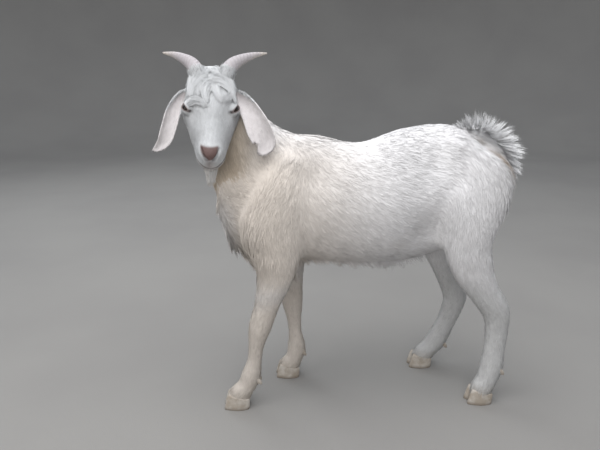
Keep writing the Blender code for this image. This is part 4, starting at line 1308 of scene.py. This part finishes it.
def tuft_mesh(name, tufts, rings, lying):
    """One mesh of all these tufts: three-sided blades that taper to a point.

    Tufts that lie on the body are shaded much as the skin under them is.
    """
    count, rows = len(tufts.root), len(rings)
    co, side = tuft_places(tufts, rings)
    per = co.shape[1]
    corners = (tuft_faces(rows)[None] + (np.arange(count) * per)[:, None, None]).reshape(-1)
    mesh = bpy.data.meshes.new(name)
    mesh.vertices.add(count * per)
    mesh.vertices.foreach_set("co", co.astype(np.float32).ravel())
    mesh.loops.add(len(corners))
    mesh.loops.foreach_set("vertex_index", corners.astype(np.int32))
    mesh.polygons.add(len(corners) // 3)
    mesh.polygons.foreach_set("loop_start", np.arange(0, len(corners), 3, dtype=np.int32))
    mesh.update(calc_edges=True)
    give_attribute(mesh, "hair_marks", "FLOAT_COLOR", np.repeat(tufts.hair, per, axis=0))
    give_attribute(mesh, "bare_marks", "FLOAT_COLOR", np.repeat(tufts.bare, per, axis=0))
    give_attribute(mesh, "shade", "FLOAT", np.repeat(tufts.shade, per))
    spread = np.array([(x, k / rows - 0.5) for k in range(rows) for x in (-0.5, 0.5, 0.0)] + [(0.0, 0.5)])
    patch = tufts.unwrap[:, None] + spread[None] * PATCH
    layer = mesh.uv_layers.new(name="OFBake")
    layer.data.foreach_set("uv", patch.reshape(-1, 2)[corners].astype(np.float32).ravel())
    if lying:
        top = unit(tufts.normal - tufts.way * (tufts.normal * tufts.way).sum(1)[:, None])
        top = unit(top + side * rng.normal(0.0, TOP_NOISE, count)[:, None])
        lean = np.zeros(co.shape)
        lean[:, 0:-1:3] = -side[:, None] * SIDE_LEAN
        lean[:, 1:-1:3] = side[:, None] * SIDE_LEAN
        normals = (top[:, None] + lean).reshape(-1, 3)
        mesh.polygons.foreach_set("use_smooth", [True] * len(mesh.polygons))
        mesh.normals_split_custom_set_from_vertices(unit(normals).tolist())
    made = bpy.data.objects.new(name, mesh)
    bpy.context.scene.collection.objects.link(made)
    return made


coat_finish, start, ends = material("coat_finish", 0.62, Specular_IOR_Level=0.0)
tone = start.node("ShaderNodeAttribute", {"attribute_name": "shade"}, output="Fac")
place = start.node("ShaderNodeTexCoord", output="Object")
clouds = noise_on(start, place, 26.0)
shade = (tone - 0.5) * 0.30 + (clouds - 0.5) * 0.14 + 0.97
ends(Base_Color=hide_colour(start, shade), Roughness=0.55 + tone * 0.2)


def grown(mesh, fields, form, station, angle, hair, bare):
    """All the tufts of the skin, by density."""
    density = fields[:, 6] * (1 - np.clip(bare[:, 3] * 2.0, 0.0, 1.0))
    by_bare = averaged(mesh, bare[:, 3:], TRIM_EASE) * TRIM_STEEP
    trimmed = 1 - TRIM * np.clip(by_bare, 0.0, 1.0)
    corners, shares = rooted(mesh, density)
    nearest = corners[np.arange(len(corners)), shares.argmax(1)]
    lie = blended(fields, corners, shares)
    normal = unit(blended(normals_of(mesh), corners, shares))
    count = len(corners)
    way = unit(lie[:, :3] + rng.normal(0.0, WAY_NOISE, (count, 3)))
    way = unit(way - normal * (way * normal).sum(1)[:, None])
    length = lie[:, 3] * rng.uniform(0.65, 1.20, count)
    return Tufts(
        root=blended(places(mesh), corners, shares),
        normal=normal,
        way=way,
        length=length * blended(trimmed, corners, shares)[:, 0],
        width=lie[:, 4] * rng.uniform(0.7, 1.25, count),
        lift=lie[:, 5] * rng.uniform(0.45, 1.25, count),
        droop=np.full(count, DROOP),
        wave=np.full(count, WAVE),
        phase=rng.uniform(0.0, math.tau, count),
        roll=rng.normal(0.0, ROLL, count),
        pull=np.zeros((count, 3)),
        shade=np.full(count, 0.5),
        hair=blended(hair, corners, shares),
        bare=blended(bare, corners, shares),
        form=form[nearest],
        unwrap=unwrapped(form[nearest], station[nearest], angle[nearest]),
    )


def unwrapped(form, station, angle):
    """Each root's place on an unwrap of its form: its angle round it and its way along it."""
    lengths = [FORM_LINES[FORMS[i]].length for i in form]
    along = np.array([rows[k] / rows[-1] for rows, k in zip(lengths, station)])
    along = along + rng.uniform(-0.5, 0.5, len(form)) / 40
    turn = angle / math.tau + 0.5 + rng.uniform(-0.5, 0.5, len(form)) * 0.01
    return np.clip(np.column_stack([turn, along]), PATCH, 1 - PATCH)


tufts = clumped(grown(skin.data, fields, form, station, angle, hair_marks, bare_marks))


def coat_piece(name, chosen, rings, lying=True):
    """One piece of coat, tiled on its map when it covers more than one form."""
    forms = sorted(set(chosen.form))
    unwrap = chosen.unwrap.copy()
    for k, form in enumerate(forms):
        mine = chosen.form == form
        unwrap[mine, 0] = (k + unwrap[mine, 0]) / len(forms)
    chosen.columns["unwrap"] = unwrap
    piece = finished(tuft_mesh(name, chosen, rings, lying), name, coat_finish)


is_left = tufts.root[:, 1] < 0
is_short = tufts.length < SHORT_HAIR
# The pieces of the coat and the forms that each covers
COAT_PIECES = {
    "trunk": (0,),
    "neck": (1,),
    "head": (2,),
    "ears": (3, 4),
    "front_leg": (5, 6),
    "hind_leg": (7, 8),
    "tail": (9,),
}
lengths = (("_long", ~is_short, LONG_RINGS), ("_short", is_short, SHORT_RINGS))
for name, forms in COAT_PIECES.items():
    for kind, of_kind, rings in lengths:
        chosen = np.isin(tufts.form, forms) & of_kind
        triangles = chosen.sum() * (6 * len(rings) - 2)
        sides = (("", True),) if triangles <= TRIANGLE_LIMIT else (("_left", is_left), ("_right", ~is_left))
        for side, of_side in sides:
            if triangles:
                coat_piece("coat_" + name + kind + side, tufts.take(chosen & of_side), rings)

skin_tree = tree_of(skin.data)
finished(skin, "skin", skin_finish)
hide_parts(*FLESH)


# The longer locks that hang or stand clear of the coat: beard, forelock, throat, crest,
# brisket, belly, sheath, withers, rump and thighs. Each fringe is a few hundred fine tufts,
# rooted near a line on the skin and drawn together into wavy locks.
# Each fringe: first and last place of its roots, how far they spread, how many tufts and
# locks, length, width, flow, lift, droop, wave, how strongly a lock is drawn together
FRINGES = {
    "beard": (
        head_point(0.166, -0.098), head_point(0.198, -0.080), HEAD_LEFT * 0.010,
        1200, 3, 0.034, 0.0013, (0.0, -0.05, -1.0), 0.50, 0.10, 0.05, 0.85,
    ),
    "forelock": (
        head_point(-0.012, -0.004), head_point(0.026, 0.002), HEAD_LEFT * 0.022,
        300, 18, 0.026, 0.0011, (0.0, -0.75, -0.35), 0.16, 0.20, 0.14, 0.55,
    ),
    "throat": (
        (-0.352, 0.0, 0.610), (-0.335, 0.0, 0.490), SIDEWAYS * 0.035,
        520, 34, 0.038, 0.0016, (-0.02, 0.0, -1.0), 0.16, 0.08, 0.05, 0.55,
    ),
    "jaw": (
        (-0.362, -0.012, 0.715), (-0.366, 0.0, 0.615), SIDEWAYS * 0.030,
        460, 26, 0.034, 0.0015, (-0.10, 0.0, -1.0), 0.30, 0.10, 0.05, 0.50,
    ),
    "crest": (
        (-0.285, 0.0, 0.740), (-0.180, 0.0, 0.662), SIDEWAYS * 0.014,
        380, 26, 0.030, 0.0014, (0.8, 0.0, -0.1), 0.30, 0.20, 0.06, 0.5,
    ),
    "brisket": (
        (-0.350, 0.0, 0.450), (-0.285, 0.0, 0.345), SIDEWAYS * 0.038,
        900, 44, 0.060, 0.0018, (0.05, 0.0, -1.0), 0.18, 0.10, 0.07, 0.60,
    ),
    "apron": (
        (-0.312, 0.0, 0.360), (-0.248, 0.0, 0.345), SIDEWAYS * 0.048,
        700, 30, 0.064, 0.0016, (-0.04, 0.0, -1.0), 0.30, 0.05, 0.07, 0.62,
    ),
    "belly": (
        (-0.170, 0.0, 0.345), (0.150, 0.0, 0.345), SIDEWAYS * 0.060,
        1100, 54, 0.033, 0.0015, (0.50, 0.0, -0.68), 0.34, 0.22, 0.06, 0.58,
    ),
    "sheath": (
        (0.030, 0.0, 0.335), (0.085, 0.0, 0.335), SIDEWAYS * 0.012,
        220, 9, 0.034, 0.0014, (0.30, 0.0, -0.80), 0.50, 0.20, 0.08, 0.65,
    ),
    "withers": (
        (-0.150, 0.0, 0.680), (-0.085, 0.0, 0.660), SIDEWAYS * 0.016,
        260, 14, 0.034, 0.0014, (0.80, 0.0, 0.20), 0.26, 0.15, 0.08, 0.6,
    ),
    "rump": (
        (0.355, 0.0, 0.600), (0.372, 0.0, 0.510), SIDEWAYS * 0.045,
        420, 20, 0.036, 0.0015, (0.25, 0.0, -1.0), 0.32, 0.10, 0.07, 0.6,
    ),
    "thigh_left": (
        (0.375, -0.070, 0.580), (0.330, -0.085, 0.420), SIDEWAYS * 0.025,
        560, 32, 0.032, 0.0016, (0.08, 0.0, -1.0), 0.16, 0.12, 0.06, 0.55,
    ),
    "thigh_right": (
        (0.375, 0.070, 0.580), (0.330, 0.085, 0.420), SIDEWAYS * 0.025,
        560, 32, 0.032, 0.0016, (0.08, 0.0, -1.0), 0.16, 0.12, 0.06, 0.55,
    ),
}
# The pieces of them: which fringes each holds, and whether they lie on the body
FRINGE_PIECES = {
    "beard": (("beard",), True),
    "crown": (("forelock",), True),
    "neck": (("throat", "jaw", "crest"), True),
    "belly": (("belly", "sheath"), False),
    "trunk": (("brisket", "apron", "withers", "rump"), True),
    "thighs": (("thigh_left", "thigh_right"), True),
}
FINE_RINGS = [(0.0, 0.75), (0.30, 1.00), (0.58, 0.80), (0.82, 0.48)]
ROOT_NOISE = 0.003
# Fringes that hang steeper than this are shaded as if their roots faced level
HANGING = -0.59
LEVEL = (1.0, 1.0, 0.15)


def nearest_skin(rows):
    """The places on the skin nearest to each of these, and its normals there."""
    found = [skin_tree.find_nearest(Vector(row)) for row in rows]
    return np.array([hit[0] for hit in found]), np.array([hit[1] for hit in found])


def tufts_at(roots, ways, lengths, widths, facing=(1.0, 1.0, 1.0), **columns):
    """Tufts from their roots, with the normals and the markings that the skin has there."""
    count = len(roots)
    at, normal = nearest_skin(roots)
    form, station, angle = told(at)
    hair, bare = hair_of(at, form), bare_of(at, normal, form)
    bare[:, 1:] = 0.0
    normal = unit(normal * np.array(facing) + rng.normal(0.0, 0.15, (count, 3)))
    usual = {"lift": 0.2, "droop": 0.1, "wave": 0.06, **columns}
    filled = {name: np.full(count, value) for name, value in usual.items()}
    return Tufts(
        root=roots, normal=normal, way=ways, length=lengths, width=widths,
        phase=rng.uniform(0.0, math.tau, count), roll=rng.normal(0.0, 0.5, count),
        pull=np.zeros((count, 3)), shade=np.full(count, 0.5), hair=hair, bare=bare, form=form,
        unwrap=unwrapped(form, station, angle), **filled,
    )


def fringe_tufts(first, last, spread, count, locks, length, width, flow, lift, droop, wave, pull):
    """The tufts of one fringe, its columns in the order of FRINGES."""
    share = rng.random(count)[:, None]
    guides = np.array(first) * (1 - share) + np.array(last) * share
    guides = guides + np.array(spread) * rng.uniform(-1.0, 1.0, (count, 1))
    guides = guides + rng.normal(0.0, ROOT_NOISE, (count, 3))
    roots, normals = nearest_skin(guides)
    ways = unit(np.array(flow) + rng.normal(0.0, 0.12, (count, 3)))
    ways = unit(ways + normals * (lift - (ways * normals).sum(1))[:, None])
    lengths = length * rng.uniform(0.55, 1.12, count)
    widths = width * rng.uniform(0.7, 1.3, count)
    facing = LEVEL if flow[2] < HANGING else (1.0, 1.0, 1.0)
    made = tufts_at(roots, ways, lengths, widths, facing, lift=0.0, droop=droop, wave=wave)
    return clumped(made, locks / count, pull)


def put_together(parts):
    names = parts[0].columns
    return Tufts(**{name: np.concatenate([part.columns[name] for part in parts]) for name in names})


for name, (members, lying) in FRINGE_PIECES.items():
    locks = put_together([fringe_tufts(*FRINGES[member]) for member in members])
    if name == "beard":
        out = (locks.root - np.array(head_point(0.180, -0.090))) * np.array((1.0, 1.0, 0.0))
        locks.columns["normal"] = unit(out - np.array((0.0, 0.008, 0.0)))
    coat_piece("locks_" + name, locks, FINE_RINGS, lying)


# The wavy locks of the forehead, given one by one: from the parting one sweeps over the left
# brow, one hangs at the right temple, and short ones curl over both brows.
# Each lock: its middle line, as distances down the face and to the left, how far it stands
# off the skin, its radius and how many hairs
HEAD_LOCKS = [
    (
        [(0.0346, 0.0099), (0.039, -0.0033), (0.0478, -0.0121),
         (0.061, -0.0143), (0.0742, -0.0099), (0.0852, -0.0033)],
        0.004, 0.0078, 340,
    ),
    (
        [(0.0412, 0.0121), (0.0456, 0.0011), (0.0544, -0.0055),
         (0.0676, -0.0077), (0.0808, -0.0033)],
        0.003, 0.007, 280,
    ),
    (
        [(0.028, 0.0011), (0.0346, 0.0165), (0.0434, 0.0341),
         (0.0566, 0.0429), (0.0698, 0.0363), (0.0808, 0.0253)],
        0.0046, 0.0085, 400,
    ),
    ([(0.039, 0.0099), (0.0522, 0.0099), (0.0676, 0.0143), (0.083, 0.0231)], 0.0022, 0.0078, 230),
    (
        [(0.017, 0.0055), (0.0236, 0.0275), (0.039, 0.0473),
         (0.0566, 0.0561), (0.072, 0.0561)],
        0.005, 0.009, 380,
    ),
    ([(0.0324, 0.0429), (0.0478, 0.0495), (0.0632, 0.0517)], 0.0036, 0.0062, 200),
    (
        [(0.0038, -0.0077), (0.0126, -0.0275), (0.0302, -0.0429),
         (0.05, -0.0517), (0.0676, -0.0539)],
        0.005, 0.009, 380,
    ),
    (
        [(0.017, -0.0077), (0.028, -0.0209), (0.0434, -0.0319),
         (0.061, -0.0385), (0.0742, -0.0407)],
        0.0042, 0.0085, 360,
    ),
    ([(0.0302, -0.0055), (0.0412, -0.0143), (0.0566, -0.0231), (0.072, -0.0253)], 0.003, 0.0075, 280),
    (
        [(0.0808, -0.0495), (0.0753, -0.0385), (0.0764, -0.0253),
         (0.083, -0.0143), (0.094, -0.0055)],
        0.0036, 0.0056, 260,
    ),
    ([(0.0874, -0.0451), (0.083, -0.0319), (0.0874, -0.0187), (0.0962, -0.0121)], 0.0026, 0.0046, 150),
    ([(-0.0094, -0.0055), (0.0038, -0.0121), (0.0192, -0.0143)], 0.0028, 0.0085, 240),
    ([(-0.0094, 0.0011), (0.0038, 0.0099), (0.0214, 0.0165)], 0.0028, 0.0085, 240),
]
LOCK_STEPS = 24
CURL_RINGS = [(0.0, 0.6), (0.18, 1.0), (0.38, 1.0), (0.58, 0.9), (0.78, 0.65)]
LOCK_NARROW = 0.55
LOCK_FLAT = 0.30
LOCK_ROUND = 0.42
LOCK_WAVE = 0.18
LOCK_WAVES = 9.0
LOCK_SPREAD = 0.62
LOCK_EDGE = 1.6
SKIN_GAP = 0.0008


class LockHairs(Tufts):
    """Hairs that follow a lock's middle line, spread over its width and drawn to its tip."""

    def at(self, share):
        along = self.begin + (self.end - self.begin) * share
        k = np.minimum((along * LOCK_STEPS).astype(int), LOCK_STEPS - 1)
        rest = (along * LOCK_STEPS - k)[:, None]
        lines, sides, ups = self.lines
        pick = self.lock
        middle = lines[pick, k] * (1 - rest) + lines[pick, k + 1] * rest
        narrow = (self.radius * (1 - LOCK_NARROW * along**1.5))[:, None]
        swing = self.offset[:, 0] + self.stray * along**2
        swing = swing + LOCK_WAVE * np.sin(self.phase + LOCK_WAVES * along)
        out = sides[pick, k] * swing[:, None] + ups[pick, k] * self.offset[:, 1:] * LOCK_FLAT
        return middle + out * narrow


def averaged_rows(rows):
    """Rows eased along their line, with both ends kept."""
    for _ in range(4):
        rows[1:-1] = (rows[:-2] + 2 * rows[1:-1] + rows[2:]) / 4
    return rows


def head_locks():
    """The hairs of all the locks of the forehead."""
    lines, sides, ups, lock, radius = [], [], [], [], []
    for k, (path, rise, wide, count) in enumerate(HEAD_LOCKS):
        rows = smooth_rows([tuple(head_point(t, 0.0, across)) for t, across in path], LOCK_STEPS)
        rows = rows[np.linspace(0, len(rows) - 1, LOCK_STEPS + 1).astype(int)]
        rows, out = nearest_skin(rows)
        out = unit(averaged_rows(out))
        arch = np.sin(np.linspace(0.12, 0.85, LOCK_STEPS + 1) * math.pi)[:, None]
        rows = averaged_rows(rows) + out * (rise * arch + SKIN_GAP)
        ahead = unit(np.gradient(rows, axis=0))
        side = unit(np.cross(ahead, out))
        lines.append(rows)
        sides.append(side)
        ups.append(np.cross(side, ahead))
        lock += [k] * count
        radius += [wide] * count
    lines, sides, ups = np.array(lines), np.array(sides), np.array(ups)
    lock, count = np.array(lock), len(lock)
    turn = rng.uniform(0.0, math.tau, count)
    far = np.minimum(LOCK_EDGE, abs(rng.normal(0.0, LOCK_SPREAD, count)))
    offset = np.column_stack([far * np.cos(turn), far * np.sin(turn)])
    begin = rng.uniform(0.0, 0.45, count) * rng.random(count)
    end = np.minimum(1.0, begin + rng.uniform(0.55, 0.95, count))
    step = (begin * LOCK_STEPS).astype(int)
    widths = rng.uniform(0.0007, 0.0013, count)
    made = tufts_at(lines[lock, step], ups[lock, step], np.full(count, 0.02), widths)
    last = np.maximum(step + 4, (end * LOCK_STEPS).astype(int))
    ahead = unit(lines[lock, last] - lines[lock, step])
    side, up = sides[lock, step], ups[lock, step]
    round_it = unit(up + (side * offset[:, :1] + up * offset[:, 1:]) * LOCK_ROUND)
    tone = rng.normal(0.0, 0.10, len(HEAD_LOCKS))[lock] + rng.normal(0.0, 0.16, count)
    made.columns.update(
        way=ahead, normal=round_it, offset=offset, begin=begin, end=end, lock=lock,
        radius=np.array(radius), shade=0.5 + tone, stray=rng.normal(0.0, 0.5, count),
    )
    hairs = LockHairs(**made.columns)
    hairs.columns["lines"] = (lines, sides, ups)
    return hairs


coat_piece("locks_forehead", head_locks(), CURL_RINGS)


# The hair that rises round the foot of each horn and hides where it leaves the skull, from
# the horns' own stations: how far out, back and up each stands, and its share of the base.
HORN_BASE = 0.0165
HORN_FLAT = 0.78
HORN_PATH = [
    (-0.004, -0.010, -0.016, 1.00),
    (0.002, 0.000, 0.002, 0.98),
    (0.014, 0.012, 0.017, 0.86),
    (0.034, 0.024, 0.028, 0.64),
    (0.058, 0.036, 0.036, 0.38),
    (0.084, 0.046, 0.040, 0.09),
]
HORN_SWEEP = {1: 1.03, -1: 0.90}
HORN_ROOT = {1: (0.004, -0.008, 0.032), -1: (0.006, -0.008, 0.028)}
HORN_HAIRS = 1200
HORN_HAIR_FROM = 0.02
HORN_HAIR_TO = 0.21


def horn_rows(left):
    """The stations of a horn, and the place of its root."""
    t, up, across = HORN_ROOT[left]
    root = head_point(t, up, left * across)
    rows = []
    for out, back, rise, share in HORN_PATH:
        at = root + Vector((left * out * HORN_SWEEP[left], back, rise))
        rows.append((*at, HORN_BASE * share, HORN_BASE * HORN_FLAT * share))
    return smooth_rows(rows, 16)


def horn_ring(left):
    """The hair round one horn's foot."""
    rows = horn_rows(left)
    k = (len(rows) * rng.uniform(HORN_HAIR_FROM, HORN_HAIR_TO, HORN_HAIRS)).astype(int)
    ahead = unit(np.gradient(rows[:, :3], axis=0))[k]
    side = unit(np.cross(ahead, np.array([[0.0, 1.0, 0.0]])))
    turn = rng.uniform(0.0, math.tau, HORN_HAIRS)[:, None]
    ring = side * np.cos(turn) + np.cross(ahead, side) * np.sin(turn)
    roots = rows[k, :3] + ring * rows[k, 3:4] * rng.uniform(0.95, 1.12, (HORN_HAIRS, 1))
    ways = unit(ahead + ring * 0.16 + rng.normal(0.0, 0.13, (HORN_HAIRS, 3)))
    lengths = rng.uniform(0.006, 0.012, HORN_HAIRS)
    widths = rng.uniform(0.0007, 0.0012, HORN_HAIRS)
    made = tufts_at(roots, ways, lengths, widths, lift=0.0, droop=0.10)
    made.columns["normal"] = unit(ring + rng.normal(0.0, 0.1, (HORN_HAIRS, 3)))
    return clumped(made, 0.06, 0.5)


coat_piece("locks_horns", put_together([horn_ring(1), horn_ring(-1)]), LONG_RINGS)


# The tail: a brush of long fine white hair that radiates from the top and the end of its
# core, rooted in it and longest past its middle.
FAN_COUNT = 2600
FAN_LOCKS = 0.035
FAN_START = 0.26
FAN_TURN = 1.45
FAN_LENGTH = 0.046
# Along the tail: how long its hair is and how far it leans towards the tip
FAN_SHARES = (0.26, 0.45, 0.62, 0.80, 1.0)
FAN_LENGTHS = (0.42, 0.82, 1.00, 1.22, 1.05)
FAN_LEANS = (-0.45, -0.05, 0.20, 0.42, 0.55)
FAN_WIDTH = 0.0013
FAN_MIDDLE = np.array((0.268, 0.0, 0.595))
FAN_PULL = 0.65
# The fan's colour is raised, painted light in the shade among its hairs
FAN_PAINTED_LIGHT = 0.62
# Its hair lets light through, so it is shaded as if it faced the sky more than it does
FAN_SKY = np.array((-0.08, -0.12, 0.76))


def fan_tufts():
    """The tufts of the tail's fan."""
    rows = smooth_rows(TAIL, 12)
    share = FAN_START + (1 - FAN_START) * rng.random(FAN_COUNT)
    k = np.minimum((share * (len(rows) - 1)).astype(int), len(rows) - 2)
    at = np.column_stack([rows[k, 0], np.zeros(FAN_COUNT), rows[k, 1]])
    after = np.column_stack([rows[k + 1, 0], np.zeros(FAN_COUNT), rows[k + 1, 1]])
    ahead, up = unit(after - at), unit(at - FAN_MIDDLE)
    turn = rng.uniform(-FAN_TURN, FAN_TURN, FAN_COUNT)[:, None]
    out = unit(up * np.cos(turn) + np.array(SIDEWAYS) * np.sin(turn))
    lean = np.interp(share, FAN_SHARES, FAN_LEANS)[:, None]
    ways = unit(out + ahead * lean + rng.normal(0.0, 0.10, (FAN_COUNT, 3)))
    roots = at + out * (rows[k, 2] * 0.65)[:, None]
    lengths = FAN_LENGTH * rng.uniform(0.60, 1.15, FAN_COUNT)
    lengths = lengths * np.interp(share, FAN_SHARES, FAN_LENGTHS)
    widths = FAN_WIDTH * rng.uniform(0.7, 1.3, FAN_COUNT)
    made = tufts_at(roots, ways, lengths, widths, lift=0.0, droop=-0.03, wave=0.05)
    facing = np.array(SIDEWAYS) * np.sign(turn) * 0.62 + up * 0.25 + FAN_SKY
    made.columns["normal"] = unit(facing + rng.normal(0.0, 0.12, (FAN_COUNT, 3)))
    made = clumped(made, FAN_LOCKS, FAN_PULL)
    # Painted light: the fan's colour raised where its hairs shade each other
    made.columns["shade"] += FAN_PAINTED_LIGHT
    return made


coat_piece("tail_fan", fan_tufts(), FINE_RINGS)


# The horns: short, flattened, swept out and back, with shallow growth rings, grey over the
# length and creamier at the tips and along the rims.
HORN_RINGS = 13
HORN_GREY = (0.46, 0.43, 0.45, 1.0)
HORN_CREAM = (0.66, 0.60, 0.52, 1.0)
HORN_DARK = (0.33, 0.29, 0.27, 1.0)
RING_HEIGHT = 0.016

horn_finish, start, ends = material("horn_finish", 0.5)
along = start.node("ShaderNodeAttribute", {"attribute_name": "along"}, output="Fac")
rim = start.node("ShaderNodeAttribute", {"attribute_name": "rim"}, output="Fac")
place = start.node("ShaderNodeTexCoord", output="Object")
clouds = noise_on(start, place, 70.0, 4.0)
fibres = noise_on(start, place, 900.0, 3.0)
rings = start.math("SINE", along * (math.tau * HORN_RINGS) + clouds * 5.0)
pale = (rim * 0.55 + along.between(0.55, 1.0) * 0.6 + (clouds - 0.5) * 0.7).between(0.0, 1.0)
colour = start.mixed(pale, HORN_GREY, HORN_CREAM)
colour = start.mixed(rings.between(0.3, 1.0) * 0.22, colour, HORN_DARK)
ends(
    Base_Color=colour,
    Roughness=0.42 + clouds * 0.25,
    Normal=bumped(start, rings * 0.5 + fibres * 0.25 + clouds, 0.0010, 0.7),
)


def horn_mesh(left):
    rows = horn_rows(left)
    share = np.linspace(0.0, 1.0, len(rows))
    rings = RING_HEIGHT * np.sin(math.tau * HORN_RINGS * share) * (1 - share)
    rows[:, 3:] *= (1 + rings)[:, None]
    return loft(rows, SIDEWAYS, sides=36, per_span=1)


for side, left in (("left", 1), ("right", -1)):
    horn = joined([horn_mesh(left)])
    co = places(horn.data)
    t, up, across = HORN_ROOT[left]
    reach = (co - np.array(head_point(t, up, left * across))) @ np.array((left, 0.25, 0.3))
    along = np.clip(reach / reach.max(), 0.0, 1.0)
    give_attribute(horn.data, "along", "FLOAT", along)
    give_attribute(horn.data, "rim", "FLOAT", np.clip(-normals_of(horn.data)[:, 2] * 0.8, 0.0, 1.0))
    finished(horn, "horn_" + side + "_ringed", horn_finish)
    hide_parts("horn_" + side)


# The eyes: dark amber, with the wide level pupil of a goat, wet.
IRIS = 0.0098
PUPIL = (0.0058, 0.0021)
AMBER = (0.018, 0.010, 0.005, 1.0)
PUPIL_BLACK = (0.004, 0.003, 0.003, 1.0)
IRIS_EDGE = (0.03, 0.018, 0.014, 1.0)
eye_finish, start, ends = material("eye_finish", 0.25, Coat_Weight=0.5, Coat_Roughness=0.06)
level = start.node("ShaderNodeAttribute", {"attribute_name": "level"}, output="Fac")
upright = start.node("ShaderNodeAttribute", {"attribute_name": "upright"}, output="Fac")
reach = (level * level + upright * upright) ** 0.5
bar = (level * (1 / PUPIL[0])) ** 4.0 + (upright * (1 / PUPIL[1])) ** 4.0
colour = start.mixed(bar.between(1.3, 0.7), AMBER, PUPIL_BLACK)
ends(Base_Color=start.mixed(reach.between(IRIS * 0.92, IRIS), colour, IRIS_EDGE))
for side, left in (("left", 1), ("right", -1)):
    eye = joined([ball(eye_middle(left), EYE_RADIUS, 64)])
    gaze, _ = eye_axes(left)
    level = Vector((0, 0, 1)).cross(gaze).normalized()
    from_middle = places(eye.data) - np.array(eye_middle(left))
    front = (from_middle @ np.array(gaze)) > 0
    for name, way in (("level", level), ("upright", gaze.cross(level))):
        give_attribute(eye.data, name, "FLOAT", np.where(front, from_middle @ np.array(way), 1.0))
    finished(eye, "eye_" + side + "_iris", eye_finish)
    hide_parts("eye_" + side)


# The hooves: two claws a foot with a flat sole, a sloping toe and fine growth rings, dusty
# grey tan, and two small dewclaws behind each fetlock.
CLEFT = 0.0012
CLAW_LENGTH = 0.060
CLAW_HEIGHT = 0.032
CLAW_WIDTH = 0.023
TOE_TAPER = 0.45
TOE_RISE = 0.18
# Rings of a claw from the sole up: share of its height, share of its size, how far it leans
CLAW_RINGS = [
    (0.0, 0.97, 0.0),
    (0.05, 1.0, 0.01),
    (0.3, 0.965, 0.055),
    (0.6, 0.92, 0.115),
    (0.92, 0.86, 0.185),
    (1.0, 0.80, 0.20),
]
# Dewclaws: how far behind, beside and below the fetlock's middle, and their sections, each
# a step down the claw and a share of its size
DEWCLAW = (0.72, 0.48, 0.013)
DEWCLAW_STEP = (0.004, 0.0, -0.0055)
DEWCLAW_SIZE = (0.0056, 0.0050)
DEWCLAW_RINGS = [(-1.2, 0.9), (0.0, 1.0), (1.0, 0.8), (1.7, 0.35)]
HOOF_TAN = (0.40, 0.345, 0.285, 1.0)
HOOF_PALE = (0.56, 0.52, 0.47, 1.0)
# Darker towards the bottom of each claw
HOOF_DARK_BOTTOM = (0.20, 0.165, 0.13, 1.0)
RINGS_A_METRE = 330

hoof_finish, start, ends = material("hoof_finish", 0.6)
place = start.node("ShaderNodeTexCoord", output="Object")
height = start.node("ShaderNodeSeparateXYZ", None, {0: place}, output=2)
clouds = noise_on(start, place, 60.0, 4.0)
grain = noise_on(start, place, 500.0, 3.0, (1.0, 1.0, 0.25))
rings = start.math("SINE", height * (math.tau * RINGS_A_METRE) + clouds * 6.0)
colour = start.mixed(clouds.between(0.35, 0.75), HOOF_TAN, HOOF_PALE)
# Darker towards the bottom of each claw
colour = start.mixed(height.between(0.010, 0.001) * 0.7, colour, HOOF_DARK_BOTTOM)
ends(
    Base_Color=colour,
    Roughness=0.55 + clouds * 0.3,
    Normal=bumped(start, rings * 0.10 + grain * 0.7 + clouds, 0.0008, 0.5),
)


def claw_mesh(name, outer):
    """One half of a cloven hoof: a flat sole, an upright inner wall and a sloping toe."""
    x, y = HOOVES[name]
    out = (1 if y > 0 else -1) * (1 if outer else -1)
    bands = len(CLAW_RINGS) + 1
    bm = bmesh.new()
    bmesh.ops.create_uvsphere(bm, u_segments=36, v_segments=bands, radius=1.0)
    for vert in bm.verts:
        k = round(math.acos(max(-1.0, min(1.0, vert.co.z))) / math.pi * bands) - 1
        at_pole = k < 0 or k >= len(CLAW_RINGS)
        k = max(0, min(len(CLAW_RINGS) - 1, k))
        height, share, lean = CLAW_RINGS[len(CLAW_RINGS) - 1 - k]
        angle = math.atan2(vert.co.y, vert.co.x)
        along = 0.0 if at_pole else math.copysign(abs(math.cos(angle)) ** 0.85, math.cos(angle))
        across = 0.0 if at_pole else math.copysign(abs(math.sin(angle)) ** 0.75, math.sin(angle))
        toe = 1 - TOE_TAPER * max(0.0, -along)
        wide = 0.5 + 0.5 * across * (toe if across > 0 else 1.0)
        width = CLAW_WIDTH * (0.9 + 0.1 * share)
        vert.co = (
            x + along * CLAW_LENGTH * share / 2 + lean * CLAW_LENGTH / 2,
            y + out * (CLEFT + wide * width),
            CLAW_HEIGHT * height * (1.0 - TOE_RISE * along),
        )
    outward(bm)
    return bm


def dewclaw_mesh(name, outer):
    x, y, z, deep, wide = LEGS[name][FETLOCK]
    side = (1 if y > 0 else -1) * (1 if outer else -1)
    at = Vector((x + deep * DEWCLAW[0], y + side * wide * DEWCLAW[1], z - DEWCLAW[2]))
    rows = []
    for step, share in DEWCLAW_RINGS:
        size = [share * half for half in DEWCLAW_SIZE]
        rows.append((*(at + Vector(DEWCLAW_STEP) * step), *size))
    return loft(rows, SIDEWAYS, sides=20, per_span=3)


dewclaws = []
for name in LEGS:
    for side, outer in (("outer", True), ("inner", False)):
        claw = joined([claw_mesh(name, outer)])
        finished(claw, "hoof_" + name + "_" + side, hoof_finish)
        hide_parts("claw_" + name + "_" + side)
        dewclaws.append(dewclaw_mesh(name, outer))
dewclaws = joined(dewclaws)
finished(dewclaws, "dewclaws", hoof_finish)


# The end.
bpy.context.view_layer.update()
